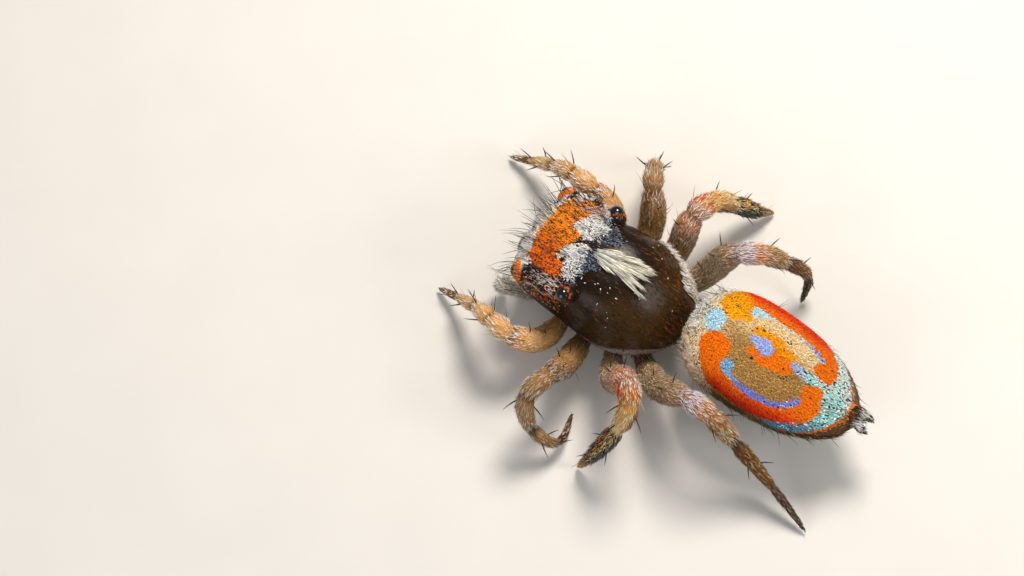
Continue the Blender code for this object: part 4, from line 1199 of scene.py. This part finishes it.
# Shapes of hair: rings are places along a hair and its share of the width there
fineHair = {"rings": ((0.2, 1.0), (0.65, 0.75)), "sides": 3, "flat": 0.8}
shortHair = {"rings": ((0.25, 1.0), (0.7, 0.7)), "sides": 3, "flat": 0.7}
bristleRings = ((0.06, 0.9), (0.3, 1.0), (0.6, 0.7), (0.85, 0.35))
bristle = {"rings": bristleRings, "sides": 3, "flat": 1.0, "rootShade": 1.0}

# Scales and hair of the abdomen
abdomenCoat = {
    "density": 5600,
    "length": (0.038, 0.056),
    "width": (0.019, 0.027),
    "lift": (0.14, 0.50),
    "jitter": 0.010,
    "scatter": 0.16,
    "seam": 2.52,    # place along, where the front piece ends and the rear one starts
    "scale": {"rings": ((0.55, 1.0),), "flat": 0.22, "rootShade": 0.30},
}
abdomenFur = {
    "density": 900,
    "sides": {**fineHair, "length": (0.07, 0.13), "width": 0.009, "lift": (0.1, 0.45), "bend": -0.2},
    "front": {
        "length": (0.05, 0.085), "width": 0.012, "lift": (0.4, 1.0), "bend": -0.4,
        "rings": ((0.2, 1.0), (0.65, 0.8)), "sides": 3, "flat": 0.6, "rootShade": 0.85,
    },
    "frontTimes": 4,
    "tail": {**fineHair, "length": (0.06, 0.11), "width": 0.010, "lift": (0.10, 0.45), "bend": -0.3},
}


def tailwards(points):
    # the way the abdomen's coat lies: back along it, and in towards the spinnerets at its end
    back = np.array((0.0, 1.0, 0.0))
    end = np.array((tail["aside"], tail["along"] + 0.05, tail["height"]))
    share = ease(3.0, 3.75, points[:, 1])[:, None]
    return back * (1 - share) + unit(end - points) * share


def makeAbdomenCoat():
    roots, normals = scatter("abdomen", abdomenCoat["density"])
    u, along = roundPlaces(roots, abdomen)
    out = np.abs(u)
    keep = (out < 1.06) | (dice.random(len(roots)) < 0.25)
    roots, normals, u, along, out = pick((roots, normals, u, along, out), keep)
    count = len(roots)
    tints = varied(abdomenTints(roots + dice.normal(size=(count, 3)) * abdomenCoat["jitter"]), 0.20)
    margin = (along < np.interp(u, *marginEnd)) & (out < 1)
    tints = speckled(tints, np.where(margin, 0.10, 0.008), shield["dark"])
    sea = (along > 3.0) & (tints[:, 2] > tints[:, 0]) & (out < 1.05)
    for where, chance, colour in (
        (sea, 0.10, shield["white"]), (sea, 0.13, shield["dark"] * 2), (sea, 0.05, shield["rust"]),
        (margin & (u > 0.2), 0.12, shield["rust"]),
    ):
        tints = speckled(tints, np.where(where, chance, 0), colour)
    lies = layDown(tailwards(roots), normals, abdomenCoat["scatter"])
    length, width, lift = (within(*abdomenCoat[word], count) for word in ("length", "width", "lift"))
    front = along < abdomenCoat["seam"]
    for word, part in (("abdomenScalesFront", front), ("abdomenScalesRear", ~front)):
        # the tips of the scales are painted 12% lighter, a painted highlight over the painted shade at their
        # roots
        makeCoat(word, [tufts(
            "abdomen", roots[part], normals[part], lies[part], tints[part], length[part], width[part],
            lift=lift[part], tip=np.clip(tints[part] * 1.12, 0, 1), **abdomenCoat["scale"],
        )], scaleFinish)


def makeAbdomenHair():
    roots, normals = scatter("abdomen", abdomenFur["density"])
    u, along = roundPlaces(roots, abdomen)
    out = np.abs(u)
    # sides and underside: longer hair that lies back
    low = (out > 0.90) & (dice.random(len(out)) < ease(0.86, 1.0, out))
    spots, ups = rooted(roots, normals, low)
    tints = either(len(spots), 0.5, tint("ccb684"), tint("5a4a2c"))
    tints = varied(np.where((out[low] > 1.5)[:, None], tint("a8987a"), tints), 0.25)
    lies = layDown(tailwards(spots) + np.array((0, 0, -0.25)), ups, 0.25)
    groups = [tufts("abdomen", spots, ups, lies, tints, **abdomenFur["sides"])]
    # the front margin: white hair that stands up and leans forwards
    front = (along < np.interp(u, *marginEnd) - 0.10) & (out < 1.1)
    times = abdomenFur["frontTimes"]
    spots, ups = rooted(roots, normals, front, times, 0.010)
    warm = np.repeat(ease(0.05, 0.45, u[front]), times) * 0.75
    tints = varied(speckled(mixed(shield["white"], shield["tanPale"], warm), 0.25, shield["cream"]), 0.10)
    lies = layDown(same((0, -1.0, 0.35), len(spots)), ups, 0.4)
    groups.append(tufts("abdomen", spots, ups, lies, tints, **abdomenFur["front"]))
    # the tail end: orange fringe, then dark brown hair under it
    ends = np.interp(out, *turquoiseEnd)
    tailPart = (along > ends - 0.04) & (along > 3.0) & (out < 1.6)
    spots, ups = rooted(roots, normals, tailPart)
    rusty = ease(0.16, 0.0, along[tailPart] - ends[tailPart]) * 0.7 + 0.15
    tints = varied(either(len(spots), rusty, shield["rust"] * 1.2, tint("5e3e24")), 0.25)
    lies = layDown(tailwards(spots), ups, 0.25)
    groups.append(tufts("abdomen", spots, ups, lies, tints, **abdomenFur["tail"]))
    makeCoat("abdomenHair", groups, hairFinish)


# Scales and hair of the carapace. A group of hair has a second colour with its share, and is
# grown several times at each root, loosely round it
headCoat = {
    "density": 6200,
    "jitter": (0.012, 0.016, 0),
    "scale": {
        "length": (0.034, 0.050), "width": (0.013, 0.020), "vary": 0.16, "lift": (0.12, 0.45),
        "flat": 0.3, "rings": ((0.5, 1.0),), "rootShade": 0.5,
    },
}
headFur = {
    "density": 760,
    "clear": 0.034,
    "thorax": {
        **fineHair, "length": (0.06, 0.11), "width": 0.0062, "vary": 0.3, "lift": (0.03, 0.14), "bend": -0.06,
    },
    "lobes": {
        "tints": ("white", "grey", 0.12), "uneven": 0.12, "times": 3, "loose": (0.012, 0.012, 0),
        "spread": 0.2,
        "hair": {**fineHair, "length": (0.07, 0.12), "width": 0.0075, "lift": (0.1, 0.35), "bend": -0.1},
    },
    "margin": {
        "tints": ("white", "cream", 0.3), "uneven": 0.12, "times": 3, "loose": 0.010, "spread": 0.3,
        "hair": {**fineHair, "length": (0.07, 0.12), "width": 0.0095, "lift": (0.3, 0.9), "bend": -0.2},
    },
    "waist": {
        "tints": ("brown", "rust", 0.3), "uneven": 0.12, "times": 1, "loose": 0.010, "spread": 0.3,
        "hair": {**fineHair, "length": (0.07, 0.12), "width": 0.0095, "lift": (0.3, 0.9), "bend": -0.2},
    },
    "face": {
        "tints": ("cream", "white", 0.3), "uneven": 0.15, "times": 1, "loose": None, "spread": 0.2,
        "hair": {**fineHair, "length": (0.06, 0.11), "width": 0.010, "lift": (0.1, 0.4), "bend": -0.3},
    },
    "ridge": {
        **fineHair, "length": (0.08, 0.13), "width": 0.0085, "vary": 0.15, "lift": (0.1, 0.45), "bend": -0.15,
    },
    "specks": {"length": (0.028, 0.050), "width": 0.016, "vary": 0.1, "lift": 0.15, "flat": 0.4},
}
thoraxSpecks = (
    (0.29, 0.26), (0.32, 0.43), (0.48, 0.40), (0.54, 0.60), (0.64, 0.60), (0.31, 0.25), (0.33, 0.57),
    (0.51, 0.54), (-0.51, 0.57), (-0.44, 0.75), (-0.60, 0.60), (-0.28, 0.94), (-0.03, 1.18), (0.16, 0.71),
    (0.19, 0.80), (0.37, 0.14), (0.35, 0.08), (0.31, 0.33), (0.35, 0.55), (0.25, 0.43),
)


def headwardLies(points, normals, spread=0.2):
    # back over the head and thorax, and down over the face
    ways = np.stack([points[:, 0] * 0.15, np.ones(len(points)), -0.25 * ease(0.2, 1.2, points[:, 1])], 1)
    face = ease(-0.66, -0.78, points[:, 1])[:, None]
    ways = ways * (1 - face) + np.array((0, -0.3, -1.0)) * face
    return layDown(ways, normals, spread)


def offLenses(points, reach=0.028):
    # whether points keep clear of the lenses
    clear = np.ones(len(points), bool)
    for *_, centre, radius in eyePlaces():
        clear &= np.linalg.norm(points - np.array(centre), axis=1) > radius + reach
    return clear


def onSpot(points):
    return np.hypot(*(points[:, :2] - np.array(mask["spot"])).T) < mask["spotRadius"]


def makeCarapaceCoat():
    roots, normals = scatter("carapace", headCoat["density"])
    roots, normals = pick((roots, normals), offLenses(roots))
    count = len(roots)
    spots = roots + dice.normal(size=(count, 3)) * np.array(headCoat["jitter"])
    x, along, height = roots.T
    orange, white, steelSheen = headAreas(spots)
    roof = (height > mask["roofHeight"]) & (along < 0.03) & (np.abs(x) < 0.66)
    face = (along < -0.60) & (height <= mask["roofHeight"])
    sides = (along < -0.03 - 0.12 * dice.random(count)) & (np.abs(x) >= 0.60) & (height > 0.85)
    brow = roof & ~orange & (along < -0.60) & (np.abs(x) < 0.50)
    areas = (orange, white, steelSheen, brow, sides, roof, face)
    share = np.select(areas, (0.9, 0.85, 0.30, 0.9, 0.5, 0.5, 0.5), 0.0)
    share = np.maximum(share, 0.75 * marginShare(roots))
    keep = dice.random(count) < np.where(onSpot(roots) & roof, 1.0, share)
    roots, normals, spots, orange, white, steelSheen, sides, roof, brow = pick(
        (roots, normals, spots, orange, white, steelSheen, sides & ~(orange | white), roof, brow), keep)
    rare = dice.random(len(roots))[:, None]
    dark = np.where(rare < 0.22, mask["grey"], np.where(rare < 0.30, mask["rust"], mask["navy"]))
    cheek = np.where(rare < 0.34, mask["orange"], np.where(rare < 0.46, mask["cream"], mask["brown"]))
    fade = ease(-0.02, -0.28, roots[:, 1])[:, None]
    # towards the rear the white lobes' hair takes on some painted steel-blue sheen
    pale = np.where(rare > 0.80 + 0.2 * fade, mask["steelSheen"], mask["white"])
    tints = carapaceTints(spots)
    for where, colours in (
        (roof & ~(orange | white | steelSheen), dark),
        (brow, np.where(rare < 0.85, mask["white"], mask["navy"])),
        # painted sheen: scales where the roof shines are steel-blue, with slate between
        (steelSheen, np.where(rare < 0.45, mask["steelSheen"], mask["slate"])),
        (sides, cheek),
        (orange & (rare[:, 0] < 0.26), mask["navy"]),
        (white, np.where(rare < 0.48 - 0.36 * fade, mask["slate"], pale)),
        (onSpot(roots) & roof, mask["cream"]),
    ):
        tints = paint(tints, where, colours)
    # the tips of the scales are painted 10% lighter, a painted highlight over the painted shade at their
    # roots
    makeCoat("carapaceScales", [tufts(
        "carapace", roots, normals, headwardLies(roots, normals), tints, tip=np.clip(tints * 1.1, 0, 1),
        **headCoat["scale"],
    )], scaleFinish)


def makeCarapaceHair():
    roots, normals = scatter("carapace", headFur["density"])
    roots, normals = pick((roots, normals), offLenses(roots, headFur["clear"]))
    x, along, height = roots.T
    # fine hair that lies over the glossy thorax
    spots, ups = rooted(roots, normals, (along > 0.0) & (height > 0.62))
    warm = ease(0.6, 1.3, spots[:, 1]) * 0.4 + ease(0.1, -0.35, spots[:, 0]) * 0.25 + 0.15
    tints = either(len(spots), warm, tint("8a5018"), tint("140d0a"))
    groups = [tufts("carapace", spots, ups, headwardLies(spots, ups, 0.15), tints, **headFur["thorax"])]
    # hair of the pale lobes between the rear eyes, the right rear margin, the waist's edge and the face
    _, white, _ = headAreas(roots)
    white &= dice.random(len(roots)) < 0.45 + 0.55 * ease(-0.02, -0.25, along)
    rim = (height > 0.62) & (height < 1.02)
    for word, part in (
        ("lobes", white),
        ("margin", rim & (along > 0.55) & (along < 1.30) & (x < -0.34)),
        ("waist", rim & (along > 1.16) & (along < 1.36) & (np.abs(x) < 0.25)),
        ("face", (along < -0.55) & (height < 1.02)),
    ):
        sizes = headFur[word]
        first, second, share = sizes["tints"]
        spots, ups = rooted(roots, normals, part, sizes["times"], sizes["loose"])
        tints = varied(either(len(spots), share, mask[second], mask[first]), sizes["uneven"])
        lies = headwardLies(spots, ups, sizes["spread"])
        groups.append(tufts("carapace", spots, ups, lies, tints, **sizes["hair"]))
    # the ridge between side eye and rear eye: grey-white hair with a little orange
    ridge = (np.abs(x) > 0.47) & (np.abs(x) < 0.68) & (along > -0.58) & (along < -0.16) & (height > 1.1)
    spots, ups = rooted(roots, normals, ridge, 3, 0.012)
    rare = dice.random(len(spots))[:, None]
    tints = np.where(rare < 0.60, mask["white"], np.where(rare < 0.76, mask["orange"], mask["navy"]))
    groups.append(tufts("carapace", spots, ups, headwardLies(spots, ups), tints, **headFur["ridge"]))
    groups += [crestHair(), *rimHair()]
    # single white scales on the dark thorax
    spots, ups = onSkin(np.array(thoraxSpecks))
    tints = same(mask["white"], len(spots))
    groups.append(tufts("carapace", spots, ups, headwardLies(spots, ups, 0.8), tints, **headFur["specks"]))
    makeCoat("carapaceHair", groups, hairFinish)


def onSkin(places):
    # the roof of the carapace's skin above places given as across and along
    chosen = np.flatnonzero((skinRegion == regionOf["carapace"]) & (skinNormals[:, 2] > 0))
    gaps = ((skinPoints[chosen][None, :, :2] - places[:, None]) ** 2).sum(2)
    nearest = chosen[gaps.argmin(1)]
    return skinPoints[nearest], skinNormals[nearest]


crest = {
    "locks": 44,
    "each": 22,
    "front": 0.05,
    "rear": 0.58,
    "middle": -0.045,
    "halfWidth": (0.045, 0.150),
    "fan": 0.22,
    "length": (0.18, 0.34),
    "lift": (0.16, 0.40),
    "tints": (tint("fbf2de"), tint("a8a498"), tint("c4ccd4")),
    "hair": {
        "width": 0.0100, "vary": 0.10, "bend": (-0.5, -0.25), "rings": ((0.12, 0.7), (0.45, 1.0), (0.8, 0.6)),
        "sides": 3, "flat": 0.7,
    },
}


def crestHair():
    # locks of pale hair that start narrow between the rear eyes and fan out backwards
    locks, each = crest["locks"], crest["each"]
    row = np.repeat(dice.random(locks), each)
    aside = np.repeat(np.linspace(-1, 1, locks) + dice.normal(size=locks) * 0.12, each)
    count = len(row)
    narrow, wide = crest["halfWidth"]
    across = crest["middle"] + aside * (narrow + (wide - narrow) * row)
    loose = dice.normal(size=(count, 2)) * np.array((0.012, 0.030))
    places = np.stack([across, crest["front"] + (crest["rear"] - crest["front"]) * row], 1) + loose
    spots, ups = onSkin(places)
    spots = np.concatenate([places, spots[:, 2:]], 1)
    reach = np.repeat(within(*crest["length"], locks), each) * within(0.85, 1.1, count)
    swing = aside * crest["fan"] + np.repeat(dice.normal(size=locks) * 0.05, each)
    ways = np.stack([swing - loose[:, 0] * 1.5, np.ones(count), np.zeros(count)], 1)
    pale, grey, cool = crest["tints"]
    tints = mixed(either(count, 0.14, grey, pale), cool, ease(0.25, 0.0, row) * 0.6)
    lift = np.repeat(within(*crest["lift"], locks), each) + dice.normal(size=count) * 0.05
    lies = layDown(ways, ups, 0.03)
    return tufts("carapace", spots, ups, lies, tints, reach, lift=lift, **crest["hair"])


rims = {
    "eye_front": {
        "count": 2400, "tilt": (0.05, 0.55), "tints": ("fdfbf8", "fbf4ea", "ecd2b0"),
        "hair": {"length": (0.08, 0.130), "lift": (0.05, 0.5)},
    },
    "eye_side": {
        "count": 1000, "tilt": (0.05, 0.55), "tints": ("fc7412", "ff9a2c", "f3e6d0"),
        "hair": {"length": (0.05, 0.085), "lift": (0.1, 0.5)},
    },
    "eye_small": {
        "count": 20, "tilt": (0.05, 0.3), "tints": ("1c2034", "f27a20", "1c2034"),
        "hair": {"length": (0.03, 0.05), "lift": (0.1, 0.4)},
    },
    "eye_rear": {
        "count": 190, "tilt": (0.05, 0.3), "tints": ("e06414", "a83e10", "1a120e"),
        "hair": {"length": (0.035, 0.055), "lift": (0.0, 0.3)},
    },
    "all": {
        "width": 0.012, "vary": 0.12, "bend": -0.45, "rootShade": 0.85, "rings": ((0.3, 1.0), (0.7, 0.7)),
        "sides": 3, "flat": 0.7,
    },
}


def rimHair():
    # rings of short hair round the eyes, rooted just outside the lens
    groups = []
    for name, _, centre, radius in eyePlaces():
        sizes = rims[name]
        count = sizes["count"]
        centre = np.array(centre)
        inward = unit((np.array(eyeMound["heart"]) - centre)[None])[0]
        moundRadius, depth = radius + eyeMound["rim"], eyeMound["depth"]
        cosine = (moundRadius ** 2 - radius ** 2 - depth ** 2) / (2 * radius * depth)
        rim = math.asin(min(1, radius * math.sqrt(1 - min(cosine, 1) ** 2) / moundRadius))
        first = unit(np.cross(inward, np.array([(0, 0, 1.0)])))
        second = unit(np.cross(inward, first))
        turn = within(0, 2 * math.pi, count)
        away = np.cos(turn)[:, None] * first + np.sin(turn)[:, None] * second
        tilt = rim + within(*sizes["tilt"], count)
        ups = np.sin(tilt)[:, None] * away - np.cos(tilt)[:, None] * inward
        spots = centre + inward * depth + ups * (moundRadius - 0.004)
        lies = np.cos(tilt)[:, None] * away + np.sin(tilt)[:, None] * inward
        lies = layDown(lies + 0.5 * np.cross(ups, lies), ups, 0.3)
        if name in ("eye_front", "eye_side"):
            # hair of the upper rim leans over the lens, so that it is hidden from above
            over = (away[:, 2] > -0.2)[:, None]
            ahead = np.stack([away[:, 0] * 0.25, -np.ones(count), np.full(count, 0.05)], 1)
            lies = np.where(over, layDown(ahead, ups, 0.2), lies)
        rare = dice.random(count)[:, None]
        first, second, third = (tint(code) for code in sizes["tints"])
        tints = np.where(rare > 0.8, third, np.where(rare < 0.5, first, second))
        if name == "eye_rear":
            ahead = (centre[1] - spots[:, 1] > 0.07) & (dice.random(count) < 0.5)
            tints = np.where(ahead[:, None], mask["cream"], tints)
        groups.append(tufts("carapace", spots, ups, lies, tints, **sizes["hair"], **rims["all"]))
    return groups


# Hair of the legs, feelers and jaws. The first and second legs keep only a share of it
limbCoat = {
    "leg": {"density": 2300, "length": (0.055, 0.100), "width": 0.0100, "lift": (0.06, 0.40)},
    "palp": {"density": 2600, "length": (0.07, 0.13), "width": 0.0115, "lift": (0.15, 0.6)},
    "chelicera": {"density": 500, "length": (0.05, 0.10), "width": 0.009, "lift": (0.1, 0.4)},
    "share": 0.45,
    "reach": ((0, 1.5, 4, 5, 6), (0.8, 1.1, 1.0, 0.8, 0.6)),
    "hair": {**shortHair, "flat": 0.6, "bend": (-0.35, 0.1)},
}


def limbHair(name):
    sizes = limbCoat[name.split("_")[0]]
    roots, normals = scatter(name, sizes["density"])
    if name[-2:] in ("_1", "_2"):
        roots, normals = pick((roots, normals), dice.random(len(roots)) < limbCoat["share"])
    stage, _, heading = limbPlaces(roots, name)
    count = len(roots)
    tints = varied(limbTints(roots + dice.normal(size=(count, 3)) * 0.01, name), 0.2)
    reach = within(*sizes["length"], count)
    if name.startswith("leg"):
        reach *= np.interp(stage, *limbCoat["reach"])
    lies, width, lift = layDown(heading, normals, 0.22), sizes["width"], sizes["lift"]
    return tufts(name, roots, normals, lies, tints, reach, width, lift=lift, **limbCoat["hair"])


def makeLimbCoats():
    for side in ("left", "right"):
        names = [f"leg_{side}_{n}" for n in range(1, 5)]
        makeCoat(f"{side}LegHair", [limbHair(name) for name in names], hairFinish)
    names = ["palp_left", "palp_right", "chelicera_left", "chelicera_right"]
    makeCoat("palpHair", [limbHair(name) for name in names], hairFinish)


underCoat = {
    "underside": {"density": 420, "tints": ("8a7458", "c8b89c"), "length": (0.05, 0.10)},
    "spinnerets": {"density": 3200, "tints": ("3a2a1e", "8a5c34"), "length": (0.05, 0.09)},
    "tip": "f8f4ee",
    "end": "3a424c",
    "longer": (0.7, 1.8),
    "closing": (4.0, 0, 2.0),
    "hair": {**shortHair, "width": 0.010, "vary": 0.2, "lift": (0.1, 0.5), "bend": -0.2},
}


def makeUnderCoat():
    groups = []
    for name in ("underside", "spinnerets"):
        sizes = underCoat[name]
        roots, normals = scatter(name, sizes["density"])
        count = len(roots)
        tints = either(count, 0.5, *[tint(code) for code in sizes["tints"]])
        ways, longer = same((0, 1.0, 0), count), 1.0
        if name == "spinnerets":
            # pale above, dark at the end, and the hair closes in to one brush
            place = roots[:, 1] - tail["along"]
            pale = (roots[:, 2] > tail["height"] - 0.05) & (dice.random(count) < 0.85)
            tints = np.where((pale & (place > -0.06))[:, None], tint(underCoat["tip"]), tints)
            dark = (place > 0.09) & (dice.random(count) < 0.6)
            tints = np.where(dark[:, None], tint(underCoat["end"]), tints)
            longer = np.where(place > 0.04, *underCoat["longer"])
            ways = ways - (roots - roots.mean(0)) * underCoat["closing"]
        lies = layDown(ways, normals, 0.2)
        reach = within(*sizes["length"], count) * longer
        groups.append(tufts(name, roots, normals, lies, tints, reach, **underCoat["hair"]))
    makeCoat("undersideHair", groups, hairFinish)


# Bristles, spines and the third legs' brushes. A spine has its share of the way along its part
# of the leg, and its degrees round it
black = tint("0d0b0b")
spines = {
    "femur": ((0.55, 0), (0.80, 25), (0.86, -25)),
    "tibia": ((0.58, 70), (0.64, -70), (0.88, 10)),
    "foot": ((0.22, 80), (0.28, -80), (0.47, 20)),
    "length": {"femur": 0.27, "tibia": 0.22, "foot": 0.18},
    "hair": {**bristle, "width": 0.018, "vary": 0.2, "lift": math.radians(50), "bend": -0.25, "sides": 5},
}
strays = {
    "count": 13,
    "stages": (1.2, 5.6),
    "tint": "cbb892",
    "hair": {
        **bristle, "length": (0.12, 0.22), "width": 0.0075, "lift": (0.5, 1.0), "bend": (-0.6, -0.1),
        "rings": bristleRings[1:],
    },
}
brush = {
    "count": 460,
    "stages": (4.05, 5.05),
    "degrees": (60, 125),
    "tints": ("4a515c", "101012"),
    "hair": {
        **shortHair, "length": (0.06, 0.13), "width": 0.009, "vary": 0.25, "lift": (0.2, 0.5), "bend": -0.3,
    },
}
browBristles = {
    "density": 260,
    "share": ((-0.8, -0.5, -0.1), (0.75, 0.5, 0.18)),
    "hair": {
        **bristle, "length": (0.20, 0.44), "width": 0.0085, "vary": 0.3,
        "lift": (0.45, 0.95), "bend": (-0.75, -0.25),
    },
}
abdomenBristles = {
    "density": 150,
    "hair": {
        **bristle, "length": (0.12, 0.26), "width": 0.0075, "vary": 0.3,
        "lift": (0.35, 0.9), "bend": (-0.5, 0.4),
    },
}


def onLimb(name, stages, degrees):
    # points on the surface of a limb, the ways out of it and along it
    path, stage, radii = limbPaths[name]
    ahead = unit(np.gradient(path, axis=0))
    centre = np.stack([np.interp(stages, stage, path[:, k]) for k in range(3)], 1)
    heading = unit(np.stack([np.interp(stages, stage, ahead[:, k]) for k in range(3)], 1))
    up = unit(np.array((0, 0, 1.0)) - heading * heading[:, 2:3])
    side = np.cross(heading, up)
    turn = np.radians(degrees)[:, None]
    out = np.cos(turn) * up + np.sin(turn) * side
    return centre + out * np.interp(stages, stage, radii)[:, None] * 0.97, out, heading


def spineGroup(name):
    parts = [(word, first + 2 * share, turn)
             for word, first in (("femur", 0), ("tibia", 2), ("foot", 4)) for share, turn in spines[word]]
    count = len(parts)
    stages = np.array([stage for _, stage, _ in parts]) + dice.uniform(-0.03, 0.03, count)
    degrees = np.array([turn for _, _, turn in parts]) + dice.uniform(-8, 8, count)
    roots, out, heading = onLimb(name, stages, degrees)
    reach = np.array([spines["length"][word] for word, _, _ in parts]) * dice.uniform(0.9, 1.15, count)
    return tufts(name, roots, out, heading, same(black, count), reach, **spines["hair"])


def strayHairs(name):
    count = strays["count"]
    stages = within(*strays["stages"], count)
    roots, out, heading = onLimb(name, stages, within(-110, 110, count))
    tints = either(count, 0.5, black, tint(strays["tint"]))
    return tufts(name, roots, out, heading, tints, **strays["hair"])


def brushHair(name):
    count = brush["count"]
    stages = within(*brush["stages"], count)
    side = np.where(dice.random(count) < 0.5, 1, -1)
    roots, out, heading = onLimb(name, stages, side * within(*brush["degrees"], count))
    tints = either(count, 0.45, *[tint(code) for code in brush["tints"]])
    return tufts(name, roots, out, heading, tints, **brush["hair"])


def makeBristles():
    groups = []
    for name in (f"leg_{word}" for word in legs["joints"]):
        groups += [spineGroup(name), strayHairs(name)]
        if name.endswith("_3"):
            groups.append(brushHair(name))
    # long curved bristles on the brow and between the eyes
    roots, normals = scatter("carapace", browBristles["density"])
    _, along, height = roots.T
    brow = (height > 1.12) & (along < -0.10)
    keep = brow & (dice.random(len(roots)) < np.interp(along, *browBristles["share"]))
    spots, ups = rooted(roots, normals, keep)
    count = len(spots)
    ways = np.stack([spots[:, 0] * 0.9, np.full(count, -1.1), np.full(count, 0.15)], 1)
    lies = layDown(ways, ups, 0.14)
    groups.append(tufts("carapace", spots, ups, lies, same(black, count), **browBristles["hair"]))
    # bristles of the abdomen: forwards at the front, back along the sides and the tail
    roots, normals = scatter("abdomen", abdomenBristles["density"])
    u, along = roundPlaces(roots, abdomen)
    out = np.abs(u)
    front = (along < 1.75) & (out < 1.2)
    sides = (out > 0.9) & (out < 1.5) & ~front
    tailPart = (along > 3.45) & (out < 1.5)
    for part, way, share in (
        (front, (0, -1.0, 0.6), 0.75), (sides, (0, 1.0, 0), 0.20), (tailPart, (0, 1.0, 0), 0.12),
    ):
        spots, ups = rooted(roots, normals, part & (dice.random(len(roots)) < share))
        count = len(spots)
        lies = layDown(same(way, count), ups, 0.25)
        groups.append(tufts("abdomen", spots, ups, lies, same(black, count), **abdomenBristles["hair"]))
    makeCoat("bristles", groups, bristleFinish)


# Eyes: glossy lenses, their black mottled with a deep blue-black
eyeLook = {"lens": "050506", "deep": "0a0d16"}


def makeEyes():
    finish = Finish("eyeFinish", roughness=0.05, specular=0.5, coat=0.3, coatRoughness=0.03)
    haze = finish.noise(1200, detail=2)
    finish.colour(finish.ramp(haze, tint(eyeLook["lens"]), tint(eyeLook["deep"])))
    for name, word, centre, radius in eyePlaces():
        bpy.ops.mesh.primitive_uv_sphere_add(segments=48, ring_count=32, radius=radius, location=centre)
        eye = bpy.context.active_object
        eye.name = f"{name}_{word}_lens"
        bpy.ops.object.transform_apply(location=True)
        bpy.ops.object.shade_smooth()
        eye.data.materials.append(finish.material)
        bringHome(eye)
        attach(eye, "root")
        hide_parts(f"{name}_{word}")


def paintSkin():
    colours = skin.data.color_attributes.new("coat", "FLOAT_COLOR", "POINT")
    tints = skinTints(skinPoints, skinRegion)
    colours.data.foreach_set("color", np.concatenate([tints, np.ones((len(tints), 1))], 1).ravel())
    finish = Finish("cuticle", roughness=0.3, specular=0.16)
    mottle = finish.noise(7000, detail=4)
    finish.colour(finish.times(finish.painted(), finish.ramp(mottle, (0.75, 0.72, 0.7), (1, 1, 1))))
    finish.rough(finish.level(finish.noise(16000), 0.18, 0.36))
    finish.bump(finish.noise(60000, detail=2), 0.000004, 0.35)
    skin.data.materials.append(finish.material)


print("stage: markings")
paintSkin()
bringHome(skin)
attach(skin, "root")
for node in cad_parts:
    if not node.startswith("eye"):
        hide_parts(node)
makeEyes()
makeAbdomenCoat()
makeAbdomenHair()
makeCarapaceCoat()
makeCarapaceHair()
makeLimbCoats()
makeUnderCoat()
makeBristles()
